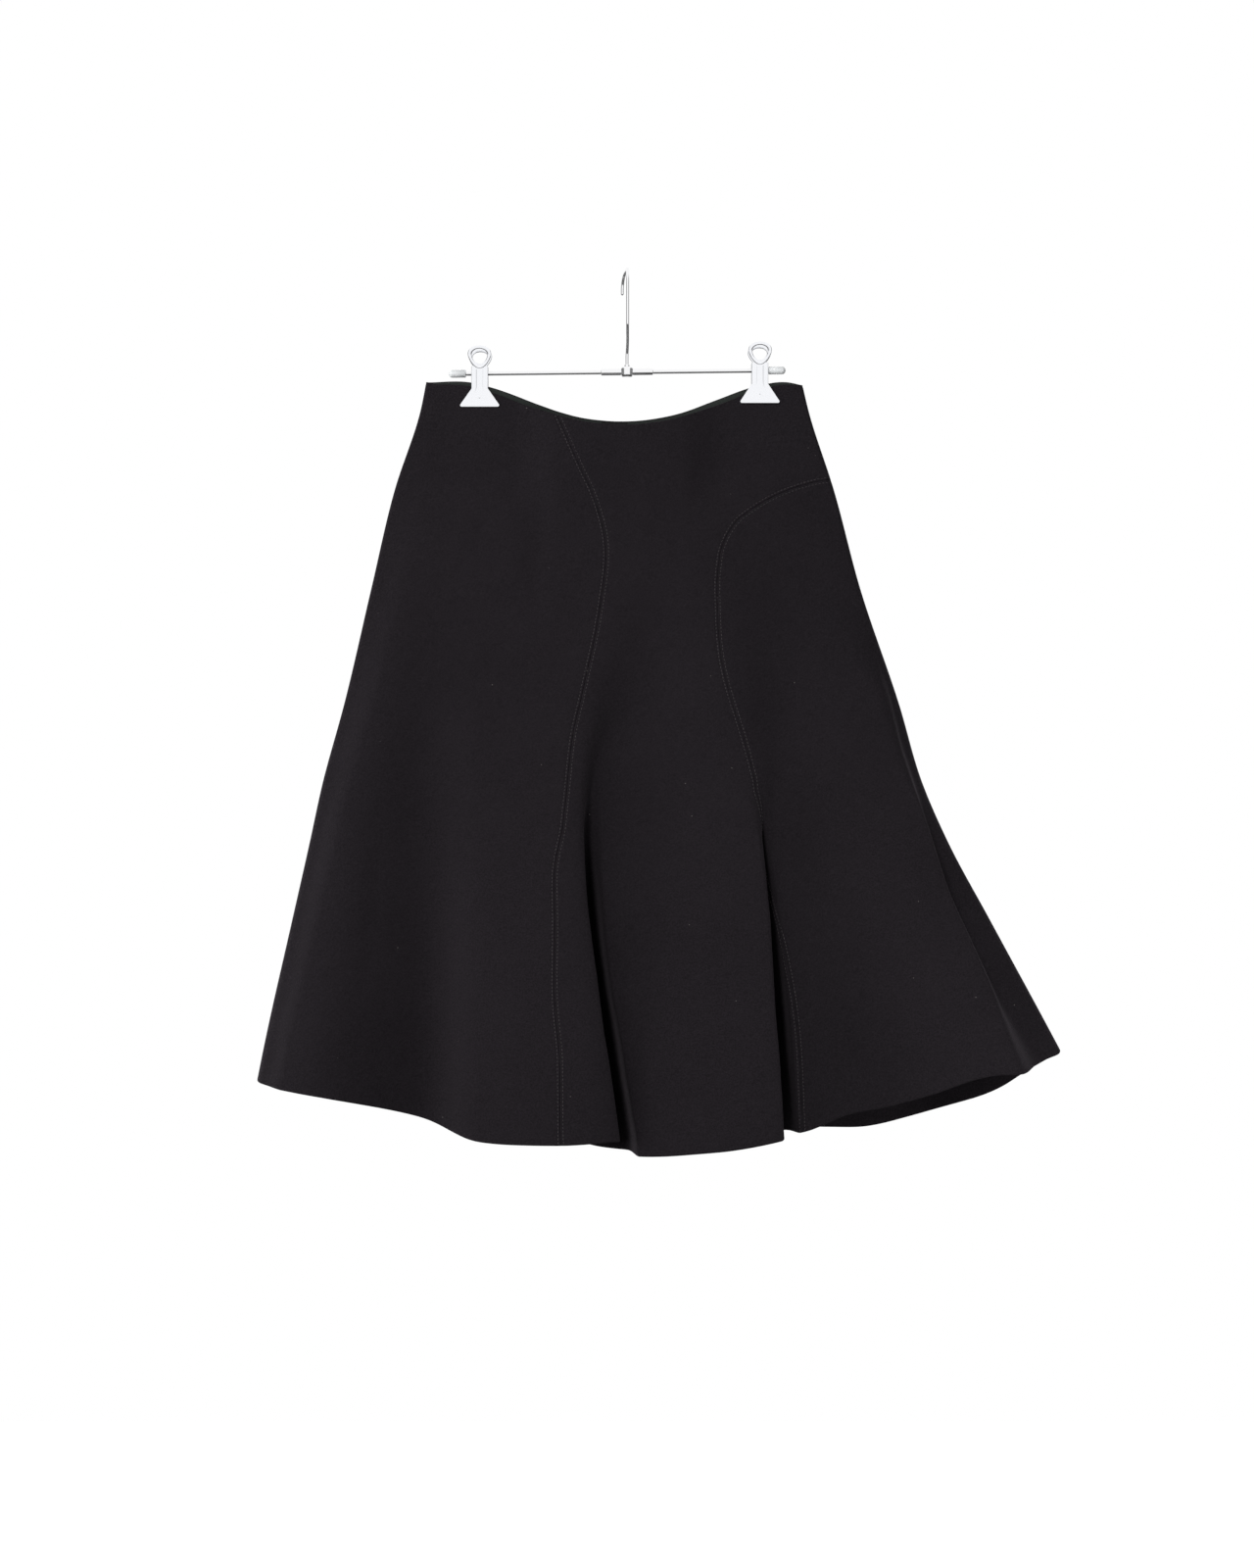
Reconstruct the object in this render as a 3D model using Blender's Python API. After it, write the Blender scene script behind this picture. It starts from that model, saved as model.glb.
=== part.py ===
"""An A-line skirt hung by its waist from the two clips of a metal hanger.

Lengths are metres. +Z is up and the front of the skirt faces -Y. The origin is the inner crown of the
hanger's hook, where a rail carries it. A "drop" is a distance below the origin. Left and right are as
seen from the front.

Every cloth piece lies on one surface, cloth(side, across, down). `across` runs from 0 at the left side
seam to 1 at the right one, and `down` from 0 at the waist edge to 1 at the hem.
"""

import math
from typing import NamedTuple

import bmesh
import bpy
import numpy as np

GAP = 0.0003
WALL = 0.0020
HEM_TURN_WALL = 0.0012
HEM_TURN_STARTS = 0.944
HEM_TURN_ENDS = 0.949
SIDE_INSET = 0.0004
FRONT_LOWER_SIDES, FRONT_LOWER_MIDDLE = 0.002, 0.0065
FOLDS_FREE_EDGE = 0.035
LEAST_STEP = 0.004
FRONT = -1
BACK = 1

# The back waist facing and the concealed zip lie inside the back panels.
FACING_WALL = 0.0008
FACING_INSET = 0.0019
FACING_ROWS = (0.0015, 0.042)
FACING_STARTS = 0.02
TAPE_WALL = 0.0008
TAPE_WIDTH = 0.024
TAPE_ROWS = 9
TAPE_ENDS = 0.30

# The cloth lies flat under a clip, and opens away from it.
PINCH_HALF_WIDTH = 0.030
PINCH_DEPTH = 0.040
PINCH_FADE_ACROSS = 0.045
PINCH_FADE_DOWN = 0.080

BAR_DROP = 0.0973
BAR_RADIUS = 0.0020
BAR_TILT = math.radians(0.6)
BAR_ENDS = (-0.1711, 0.1523)
CAP_RADIUS = 0.0037
CAP_LENGTH = 0.0165
CAP_WALL = 0.0020
BORE_RADIUS = BAR_RADIUS + GAP
SLEEVE_RADIUS = 0.0031
SLEEVE_LENGTH = 0.050
HUB_RADIUS = 0.0062
HUB_HEIGHT = 0.0100
HOOK_WIRE = 0.0015
HOOK_INNER_RADIUS = 0.0160
HOOK_TIP_DROP = 0.0200
HOOK_STRAIGHT_DROP = 0.050
HOOK_FOOT = 0.008
HOOK_BEVEL_STEPS = 2
TURNED_SIDES = 20
HOOK_YAW_FRONT, HOOK_YAW_BEHIND = math.radians(2), math.radians(15)

# A clip's two leaves close on the cloth below the bar, and flare apart above it.
LEAF_WALL = 0.0012
LEAF_OFF = 0.0032 + LEAF_WALL / 2
LEAF_FLARE = 0.0055
LEAF_BEND_BELOW = 0.004
LEAF_BEND_LENGTH = 0.030
JAW_HALF_WIDTH = 0.0190
JAW_CORNER = ((0, 0.0018), (0.0008, 0.0006), (0.0022, 0))
NECK_HALF_WIDTH = 0.0080
HANDLE_HALF_WIDTH, HANDLE_HALF_HEIGHT = 0.0107, 0.0108
HANDLE_HOLE_HALF_WIDTH, HANDLE_HOLE_HALF_HEIGHT = 0.0072, 0.0068
HANDLE_TAPER, HANDLE_HOLE_TAPER = 0.34, 0.20
HANDLE_OVERLAP = 0.0020
HANDLE_HOLE_RAISED = 0.0008
HANDLE_SIDES = 28
RING_THICKER = 0.0001
SPRING_RADIUS = 0.0029
SPRING_HALF_WIDTH = 0.0068

# The zip's slider stands on the outside of the centre-back seam, and its pull hangs from the bridge.
SLIDER_BELOW_WAIST = 0.0160
SLIDER_OFF = WALL / 2 + 3 * GAP
SLIDER_BASE = (0.0056, 0.0016, 0.0100)
BRIDGE_WIDTH = 0.0018
BRIDGE_HALF_LENGTH = 0.0036
BRIDGE_HEIGHT = 0.0034
BRIDGE_WALL = 0.0009
BRIDGE_SHOULDER = 0.6
PULL_WALL = 0.0010
PULL_AXIS_OUT = 0.0012
PULL_HOLE_HALF_WIDTH = 0.0014
PULL_HOLE_LENGTH = 0.0050
PULL_BAR = 0.0006
PULL_TOP_HALF_WIDTH = 0.0025
PULL_HALF_WIDTH = 0.0034
PULL_LENGTH = 0.0230
PULL_SQUARENESS = 0.5
PULL_SIDES = 32


class Section(NamedTuple):
    """A level of the skirt: its side edges, the roundness of its side turns and its swell."""

    drop: float
    left: float
    right: float
    turn: float
    front: float
    back: float


class Place(NamedTuple):
    """A point on an edge or a seam."""

    drop: float
    x: float


class Crest(NamedTuple):
    """A level of a fold: where its crest is, how far it stands out, its flanks and its overhang."""

    drop: float
    x: float
    reach: float
    left_width: float
    right_width: float
    lean: float


class Clip(NamedTuple):
    """A clip's place on the bar, and the drops of its parts."""

    name: str
    x: float
    jaw_bottom: float
    jaw_top: float
    neck_top: float


SECTIONS = (
    Section(0.100, -0.1905, 0.1652, 0.0019, 0.006, 0.008),
    Section(0.135, -0.1974, 0.1734, 0.0020, 0.007, 0.009),
    Section(0.210, -0.2218, 0.1974, 0.0030, 0.010, 0.012),
    Section(0.305, -0.2444, 0.2228, 0.0045, 0.012, 0.015),
    Section(0.417, -0.2707, 0.2604, 0.0055, 0.012, 0.018),
    Section(0.493, -0.2914, 0.2829, 0.0065, 0.010, 0.020),
    Section(0.549, -0.3036, 0.3074, 0.0070, 0.008, 0.022),
    Section(0.624, -0.3205, 0.3478, 0.0078, 0.006, 0.024),
    Section(0.737, -0.3459, 0.4089, 0.0088, 0.004, 0.026),
    Section(0.850, -0.3680, 0.4680, 0.0095, 0.003, 0.028),
)

WAIST = (
    Place(0.1069, -0.1915),
    Place(0.1070, -0.1500),
    Place(0.1119, -0.1300),
    Place(0.1275, -0.0850),
    Place(0.1399, -0.0400),
    Place(0.1427, 0.0030),
    Place(0.1379, 0.0400),
    Place(0.1240, 0.0850),
    Place(0.1112, 0.1220),
    Place(0.1070, 0.1560),
    Place(0.1098, 0.1660),
)

FRONT_HEM = (
    Place(0.7774, -0.3544),
    Place(0.7870, -0.2850),
    Place(0.8085, -0.1960),
    Place(0.8240, -0.1500),
    Place(0.8262, -0.1000),
    Place(0.8228, -0.0720),
    Place(0.8335, -0.0420),
    Place(0.8372, 0.0300),
    Place(0.8318, 0.0600),
    Place(0.8218, 0.0920),
    Place(0.8230, 0.1250),
    Place(0.8206, 0.1630),
    Place(0.8052, 0.2080),
    Place(0.7972, 0.2480),
    Place(0.7856, 0.2840),
    Place(0.7650, 0.3390),
    Place(0.7630, 0.3730),
    Place(0.7487, 0.4155),
)

BACK_HEM = (
    Place(0.7774, -0.3544),
    Place(0.7920, -0.2850),
    Place(0.8150, -0.1500),
    Place(0.8230, 0.0000),
    Place(0.8276, 0.1960),
    Place(0.8277, 0.2340),
    Place(0.8202, 0.2740),
    Place(0.8078, 0.3140),
    Place(0.7857, 0.3640),
    Place(0.7730, 0.3820),
    Place(0.7487, 0.4155),
)

LEFT_SEAM = (
    Place(0.1366, -0.0680),
    Place(0.1861, -0.0462),
    Place(0.2170, -0.0320),
    Place(0.2530, -0.0216),
    Place(0.2840, -0.0202),
    Place(0.3150, -0.0244),
    Place(0.3560, -0.0329),
    Place(0.4080, -0.0485),
    Place(0.4437, -0.0610),
    Place(0.4907, -0.0745),
    Place(0.5320, -0.0862),
    Place(0.5830, -0.0988),
    Place(0.6800, -0.1047),
    Place(0.7500, -0.1017),
    Place(0.8262, -0.0983),
)

RIGHT_SEAM = (
    Place(0.2012, 0.1952),
    Place(0.2035, 0.1805),
    Place(0.2096, 0.1598),
    Place(0.2180, 0.1400),
    Place(0.2303, 0.1194),
    Place(0.2435, 0.1034),
    Place(0.2632, 0.0921),
    Place(0.2839, 0.0874),
    Place(0.3149, 0.0860),
    Place(0.3769, 0.0898),
    Place(0.4493, 0.1064),
    Place(0.4850, 0.1120),
    Place(0.5160, 0.1145),
    Place(0.6280, 0.1435),
    Place(0.7170, 0.1595),
    Place(0.8206, 0.1652),
)

FOLDS = {
    FRONT: {
        "left side": (
            Crest(0.220, -0.195, 0.000, 0.050, 0.055, 0.0),
            Crest(0.350, -0.228, 0.009, 0.050, 0.062, 0.0),
            Crest(0.450, -0.247, 0.018, 0.055, 0.066, 0.0),
            Crest(0.550, -0.260, 0.026, 0.060, 0.072, 0.0),
            Crest(0.680, -0.276, 0.034, 0.065, 0.078, 0.0),
            Crest(0.800, -0.290, 0.040, 0.070, 0.086, 0.0),
        ),
        "left broad": (
            Crest(0.330, -0.138, 0.000, 0.036, 0.060, 0.0),
            Crest(0.440, -0.138, 0.010, 0.036, 0.065, 0.0),
            Crest(0.540, -0.138, 0.020, 0.036, 0.065, 0.0),
            Crest(0.660, -0.138, 0.030, 0.034, 0.070, 0.0),
            Crest(0.820, -0.138, 0.042, 0.032, 0.075, 0.0),
        ),
        "left pleat": (
            Crest(0.300, -0.022, 0.000, 0.045, 0.038, 0.3),
            Crest(0.380, -0.032, 0.005, 0.045, 0.034, 0.7),
            Crest(0.450, -0.042, 0.011, 0.045, 0.025, 1.1),
            Crest(0.535, -0.046, 0.023, 0.048, 0.022, 1.3),
            Crest(0.600, -0.041, 0.033, 0.050, 0.022, 1.3),
            Crest(0.680, -0.030, 0.042, 0.050, 0.022, 1.3),
            Crest(0.823, -0.009, 0.050, 0.050, 0.022, 1.3),
        ),
        "centre roll": (
            Crest(0.450, -0.023, 0.000, 0.012, 0.050, 0.0),
            Crest(0.535, -0.023, 0.010, 0.011, 0.055, 0.0),
            Crest(0.600, -0.021, 0.022, 0.008, 0.058, 0.0),
            Crest(0.680, -0.013, 0.028, 0.007, 0.062, 0.0),
            Crest(0.750, -0.001, 0.032, 0.006, 0.066, 0.0),
            Crest(0.823, 0.011, 0.035, 0.006, 0.070, 0.0),
        ),
        "right roll": (
            Crest(0.450, 0.127, 0.000, 0.012, 0.036, 0.0),
            Crest(0.535, 0.135, 0.010, 0.011, 0.040, 0.0),
            Crest(0.600, 0.143, 0.020, 0.009, 0.044, 0.0),
            Crest(0.680, 0.152, 0.026, 0.007, 0.050, 0.0),
            Crest(0.830, 0.164, 0.028, 0.007, 0.055, 0.0),
        ),
        "right pleat": (
            Crest(0.240, 0.084, 0.000, 0.050, 0.045, 0.0),
            Crest(0.330, 0.090, 0.006, 0.050, 0.045, 0.0),
            Crest(0.400, 0.100, 0.010, 0.055, 0.042, 0.1),
            Crest(0.465, 0.110, 0.014, 0.062, 0.030, 0.4),
            Crest(0.535, 0.121, 0.024, 0.067, 0.018, 0.8),
            Crest(0.600, 0.129, 0.036, 0.073, 0.018, 0.9),
            Crest(0.680, 0.134, 0.046, 0.074, 0.020, 0.9),
            Crest(0.830, 0.143, 0.060, 0.075, 0.022, 0.9),
        ),
        "right side": (
            Crest(0.300, 0.215, 0.000, 0.060, 0.008, 0.8),
            Crest(0.354, 0.232, 0.006, 0.065, 0.008, 1.1),
            Crest(0.482, 0.266, 0.018, 0.080, 0.010, 0.75),
            Crest(0.577, 0.296, 0.029, 0.092, 0.011, 0.6),
            Crest(0.679, 0.337, 0.040, 0.105, 0.015, 0.45),
            Crest(0.760, 0.365, 0.048, 0.115, 0.024, 0.15),
        ),
    },
    BACK: {
        "left side": (
            Crest(0.350, -0.170, 0.000, 0.050, 0.050, 0.0),
            Crest(0.600, -0.210, 0.014, 0.050, 0.050, 0.0),
            Crest(0.820, -0.240, 0.024, 0.050, 0.050, 0.0),
        ),
        "left inner": (
            Crest(0.450, -0.060, 0.000, 0.045, 0.040, 0.0),
            Crest(0.650, -0.075, 0.012, 0.045, 0.040, 0.0),
            Crest(0.820, -0.090, 0.022, 0.050, 0.040, 0.0),
        ),
        "right inner": (
            Crest(0.350, 0.070, 0.000, 0.045, 0.060, 0.0),
            Crest(0.600, 0.090, 0.018, 0.045, 0.060, 0.0),
            Crest(0.820, 0.110, 0.032, 0.050, 0.050, 0.0),
        ),
        "right side": (
            Crest(0.400, 0.190, 0.000, 0.060, 0.050, 0.0),
            Crest(0.620, 0.240, 0.014, 0.060, 0.050, 0.0),
            Crest(0.800, 0.290, 0.024, 0.060, 0.050, 0.0),
        ),
    },
}

CLIPS = (
    Clip("left", -0.1412, 0.1316, 0.1139, 0.0930),
    Clip("right", 0.1274, 0.1280, 0.1094, 0.0893),
)

# Levels of the front grids. The yoke levels follow the near-level start of the right seam.
TOP_LEVELS = (0.0, 0.05, 0.10)
YOKE_SPACING = (0.0, 0.035, 0.14, 0.30, 0.46, 0.62, 0.80, 1.0)
YOKE_ENDS = 0.26
LOW_LEVELS = (0.33, 0.40, 0.46, 0.50, 0.52, 0.54, 0.56, 0.58, 0.61, 0.65, 0.70, 0.77, 0.84, 0.90)
LOW_LEVELS += (HEM_TURN_STARTS, HEM_TURN_ENDS, 1.0)
BACK_LEVELS = (0.0, 0.05, 0.10, 0.17, 0.25, 0.33, 0.41, 0.49, 0.57, 0.65, 0.73, 0.81, 0.88)
BACK_LEVELS += (HEM_TURN_STARTS, HEM_TURN_ENDS, 1.0)


def smooth(value):
    """0 below 0, 1 above 1, and an even S between them."""
    value = np.clip(value, 0, 1)
    return value * value * (3 - 2 * value)


def through(keys, values, at):
    """A smooth curve through the values, level past its ends."""
    slopes = np.gradient(values, keys)
    i = np.clip(np.searchsorted(keys, at) - 1, 0, len(keys) - 2)
    step = keys[i + 1] - keys[i]
    u = np.clip((at - keys[i]) / step, 0, 1)
    start = values[i] * (1 + 2 * u) + slopes[i] * step * u
    end = values[i + 1] * (3 - 2 * u) - slopes[i + 1] * step * (1 - u)
    return start * (1 - u) ** 2 + end * u**2


def column(rows, name, at):
    """One named column of a table, read smoothly at the given drops."""
    keys = np.array([row.drop for row in rows])
    values = np.array([getattr(row, name) for row in rows])
    return through(keys, values, np.asarray(at, float))


def girth(drop):
    """The length of the front, or of the back, from side seam to side seam, round both side turns."""
    turn = column(SECTIONS, "turn", drop)
    return column(SECTIONS, "right", drop) - column(SECTIONS, "left", drop) + turn * (math.pi - 2)


def across_of(x, drop):
    """The `across` of a place that is clear of the side turns, before any fold leans."""
    turn = column(SECTIONS, "turn", drop)
    return (x - column(SECTIONS, "left", drop) + turn * (math.pi / 2 - 1)) / girth(drop)


def edge_line(rows):
    """An edge's table as arrays of across and drop, with its ends on the side seams."""
    drop = np.array([row.drop for row in rows])
    across = across_of(np.array([row.x for row in rows]), drop)
    across[[0, -1]] = 0, 1
    return across, drop


WAIST_LINE = edge_line(WAIST)
HEM_LINES = {FRONT: edge_line(FRONT_HEM), BACK: edge_line(BACK_HEM)}


def waist_drop(side, across):
    """The drop of the waist edge; the front hangs lower than the back, most of all in the middle."""
    lower = FRONT_LOWER_MIDDLE + (FRONT_LOWER_SIDES - FRONT_LOWER_MIDDLE) * abs(2 * across - 1) ** 3
    return through(*WAIST_LINE, across) + lower * (side == FRONT)


def hem_drop(side, across):
    """The drop of the hem's edge."""
    return through(*HEM_LINES[side], across)


def opened(x, below):
    """How far the cloth is free to open: 0 between a clip's leaves and 1 well away from them."""
    beside = np.ones_like(x)
    for clip in CLIPS:
        beside = beside * smooth((abs(x - clip.x) - PINCH_HALF_WIDTH) / PINCH_FADE_ACROSS)
    return 1 - (1 - beside) * (1 - smooth((below - PINCH_DEPTH) / PINCH_FADE_DOWN))


def cloth(side, across, down):
    """Points on the middle of the cloth: a flat tube with rounded sides, swollen, then folded."""
    across, down = np.broadcast_arrays(np.asarray(across, float), np.asarray(down, float))
    top = waist_drop(side, across)
    drop = top + down * (hem_drop(side, across) - top)
    left, right, turn = (column(SECTIONS, name, drop) for name in ("left", "right", "turn"))
    quarter = turn * math.pi / 2
    from_left = across * girth(drop)
    from_right = girth(drop) - from_left
    to_edge = np.minimum(from_left, from_right)
    inward = turn * (1 - np.cos(np.minimum(to_edge / turn, math.pi / 2))) + np.maximum(to_edge - quarter, 0)
    x = np.where(from_left < from_right, left + inward, right - inward)
    out = turn * np.sin(np.minimum(to_edge / turn, math.pi / 2))
    swell = column(SECTIONS, "front" if side == FRONT else "back", drop)
    out = out + swell * (1 - abs(2 * across - 1) ** 2.5) * opened(x, drop - top)
    free = smooth(to_edge / FOLDS_FREE_EDGE)
    shift = np.zeros_like(x)
    for rows in FOLDS[side].values():
        reach = column(rows, "reach", drop) * free
        lean = column(rows, "lean", drop)
        left_width, right_width = column(rows, "left_width", drop), column(rows, "right_width", drop)
        away = x - (column(rows, "x", drop) - lean * reach)
        out = out + reach * np.exp(-((away / np.where(away < 0, left_width, right_width)) ** 2))
        curl = right_width * np.where(away < 0, 1.5, 1)
        shift = shift + lean * reach * np.exp(-((away / curl) ** 2))
    return np.stack([x + shift, side * out, -drop], axis=-1)


def outward(side, across, down):
    """The unit normals of the cloth, away from the inside of the skirt."""
    step = 1e-4
    wide = cloth(side, np.clip(across + step, 0, 1), down) - cloth(side, np.clip(across - step, 0, 1), down)
    tall = cloth(side, across, np.clip(down + step, 0, 1)) - cloth(side, across, np.clip(down - step, 0, 1))
    normal = side * np.cross(wide, tall)
    return normal / np.linalg.norm(normal, axis=-1, keepdims=True)


def seam_line(rows):
    """A seam as close-set arrays of across and down, from its top to the hem."""
    drop = np.array([row.drop for row in rows])
    x = np.array([row.x for row in rows])
    order = np.arange(len(rows))
    fine = np.linspace(0, len(rows) - 1, 40 * len(rows))
    x, drop = through(order, x, fine), through(order, drop, fine)
    across = np.clip(across_of(x, drop), 0, 1)
    top = waist_drop(FRONT, across)
    return across, (drop - top) / (hem_drop(FRONT, across) - top)


def seam_points(line, down):
    """(across, down) pairs where a seam passes the given levels."""
    across, levels = line
    return np.stack([np.interp(down, levels, across), down], axis=-1)


def beside_seam(points, offset):
    """A seam's points moved square to it by `offset` metres: to the right, or down, where it is positive."""
    flat = cloth(FRONT, points[:, 0], points[:, 1])
    along = np.gradient(flat[:, [0, 2]], axis=0)
    along /= np.linalg.norm(along, axis=1, keepdims=True)
    width = girth(-flat[:, 2])
    height = hem_drop(FRONT, points[:, 0]) - waist_drop(FRONT, points[:, 0])
    return points + offset * np.stack([-along[:, 1] / width, -along[:, 0] / height], axis=-1)


def stations(*spans):
    """Places from 0 to 1, evenly spaced within each span of (end, count)."""
    places = [np.zeros(1)]
    for end, count in spans:
        places.append(np.linspace(places[-1][-1], end, count + 1)[1:])
    return np.concatenate(places)


def fold_line(side, name, offset, down):
    """The `across` of a line beside a fold's crest, `offset` right widths from it, at the given levels."""
    rows = FOLDS[side][name]
    drop = np.linspace(0.11, 0.84, 60)
    lean = column(rows, "lean", drop) * column(rows, "reach", drop)
    x = column(rows, "x", drop) - lean + offset * column(rows, "right_width", drop)
    across = across_of(x, drop)
    top = waist_drop(side, across)
    return np.interp(down, (drop - top) / (hem_drop(side, across) - top), across)


def stepped(start, end, *stops):
    """Columns of each row from start to end, as shares of it, that pass each stop of (across, count)."""
    counts = [count for _, count in stops]
    total = end[:, 0] - start[:, 0]
    least = np.minimum(LEAST_STEP, total / (2 * sum(counts)))
    lines = [start[:, 0]]
    for i, (line, count) in enumerate(stops):
        low = lines[-1] + count * least
        high = end[:, 0] - sum(counts[i + 1 :]) * least
        lines.append(np.clip(line, low, high))
    lines[-1] = end[:, 0]
    parts = [np.zeros((len(start), 1))]
    for near, far, count in zip(lines, lines[1:], counts):
        share = np.linspace(0, 1, count + 1)[1:]
        places = near[:, None] * (1 - share) + far[:, None] * share
        parts.append((places - start[:, :1]) / total[:, None])
    return np.concatenate(parts, axis=1)


def material(name, colour, roughness, metallic=0.0):
    """A plain finish."""
    made = bpy.data.materials.new(name)
    made.use_nodes = True
    shader = made.node_tree.nodes["Principled BSDF"]
    shader.inputs["Base Color"].default_value = (*colour, 1)
    shader.inputs["Roughness"].default_value = roughness
    shader.inputs["Metallic"].default_value = metallic
    return made


def place(name, points, faces, finish):
    """An object of these points and faces, closed, with its faces turned out."""
    mesh = bpy.data.meshes.new(name)
    mesh.from_pydata([tuple(point) for point in points], [], faces)
    body = bmesh.new()
    body.from_mesh(mesh)
    bmesh.ops.recalc_face_normals(body, faces=body.faces)
    body.to_mesh(mesh)
    body.free()
    mesh.materials.append(finish)
    item = bpy.data.objects.new(name, mesh)
    bpy.context.scene.collection.objects.link(item)
    mesh.shade_smooth()
    mesh.set_sharp_from_angle(angle=math.radians(40))
    return item


def wall(name, outer, inner, finish):
    """A closed wall between two grids of points. Facing rims are cut the same way, so they stay apart."""
    rows, columns = outer.shape[:2]
    grid = np.arange(rows * columns).reshape(rows, columns)
    cells = np.stack([grid[:-1, :-1], grid[:-1, 1:], grid[1:, 1:], grid[1:, :-1]], axis=-1).reshape(-1, 4)
    rim = np.concatenate([grid[0, :], grid[1:, -1], grid[-1, -2::-1], grid[-2:0:-1, 0]])
    rim_next = np.roll(rim, -1)
    count = grid.size
    low, high = np.minimum(rim, rim_next), np.maximum(rim, rim_next)
    sides = [np.stack([low, low + count, high + count], 1), np.stack([low, high + count, high], 1)]
    faces = [*cells.tolist(), *(cells[:, ::-1] + count).tolist(), *np.concatenate(sides).tolist()]
    return place(name, np.concatenate([outer.reshape(-1, 3), inner.reshape(-1, 3)]), faces, finish)


def layer(name, side, start, end, columns, thickness, inset, finish):
    """A wall of cloth on the grid ruled from start to end, its middle set in by `inset` from the cloth's."""
    part = np.broadcast_to(columns, (len(start), np.shape(columns)[-1]))[..., None]
    places = start[:, None] * (1 - part) + end[:, None] * part
    across, down = places[..., 0], places[..., 1]
    middle, out = cloth(side, across, down), outward(side, across, down)
    turned = HEM_TURN_WALL * np.clip((down - HEM_TURN_STARTS) / (HEM_TURN_ENDS - HEM_TURN_STARTS), 0, 1)
    outer = middle + out * (thickness / 2 - inset)
    inner = middle - out * (thickness / 2 + inset + turned)[..., None]
    return wall(name, outer, inner, finish)


def line_at(across, down):
    """A line of (across, down) pairs at one `across`."""
    down = np.asarray(down, float)
    return np.stack([np.full_like(down, across), down], axis=-1)


def yoke_points(line):
    """Points along the near-level start of the right seam, close together at the side."""
    across, down = line
    first = down < YOKE_ENDS
    path = cloth(FRONT, across[first], down[first])
    run = np.concatenate([[0], np.cumsum(np.linalg.norm(np.diff(path, axis=0), axis=1))])
    at = np.array(YOKE_SPACING) * run[-1]
    return np.stack([np.interp(at, run, across[first]), np.interp(at, run, down[first])], axis=-1)


def make_front(wool):
    """The three front panels: left, centre with its yoke, and right."""
    left_line, right_line = seam_line(LEFT_SEAM), seam_line(RIGHT_SEAM)
    yoke = yoke_points(right_line)
    low = seam_points(right_line, np.array(LOW_LEVELS))
    right_seam = np.concatenate([yoke, low])
    yoke_levels = np.linspace(yoke[0, 1], yoke[-1, 1], len(yoke))
    levels = np.concatenate([TOP_LEVELS, yoke_levels, LOW_LEVELS])
    left_seam = seam_points(left_line, levels)
    side = line_at(1 - SIDE_INSET, np.array(TOP_LEVELS))
    right_side = line_at(1 - SIDE_INSET, np.concatenate([yoke_levels, LOW_LEVELS]))
    right_side[1] = beside_seam(right_seam, GAP / 2)[0]
    right_seam[0, 0] = 1 - SIDE_INSET
    right_edge = np.concatenate([side, beside_seam(right_seam, -GAP / 2)])
    turn = 0.5 * math.pi * column(SECTIONS, "turn", 0.3) / girth(0.3)
    start, end = line_at(SIDE_INSET, levels), beside_seam(left_seam, -GAP / 2)
    broad = [fold_line(FRONT, "left broad", offset, levels) for offset in (-0.7, 0.1)]
    columns = stepped(start, end, (turn, 3), (broad[0], 5), (broad[1], 6), (1, 4))
    layer("front_left_panel", FRONT, start, end, columns, WALL, 0, wool)
    start, end = beside_seam(left_seam, GAP / 2), right_edge
    left = [fold_line(FRONT, "left pleat", offset, levels) for offset in (-0.4, 1.6)]
    right = [fold_line(FRONT, "right pleat", offset, levels) for offset in (-0.4, 0.7)]
    roll = [fold_line(FRONT, "centre roll", offset, levels) for offset in (-0.4, 0.1)]
    stops = ((left[0], 3), (left[1], 7), (roll[0], 1), (roll[1], 4), (right[0], 5), (right[1], 5))
    columns = stepped(start, end, *stops, (1 - turn, 1), (1, 2))
    layer("front_centre_panel", FRONT, start, end, columns, WALL, 0, wool)
    start, end = beside_seam(right_seam, GAP / 2)[1:], right_side[1:]
    side_fold = [fold_line(FRONT, "right side", offset, end[:, 1]) for offset in (-1.0, 1.8)]
    roll = [fold_line(FRONT, "right roll", offset, end[:, 1]) for offset in (0.1, 1.0)]
    stops = ((roll[0], 3), (roll[1], 4), (side_fold[0], 3), (side_fold[1], 6), (1 - turn, 1), (1, 3))
    columns = stepped(start, end, *stops)
    layer("front_right_panel", FRONT, start, end, columns, WALL, 0, wool)


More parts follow.
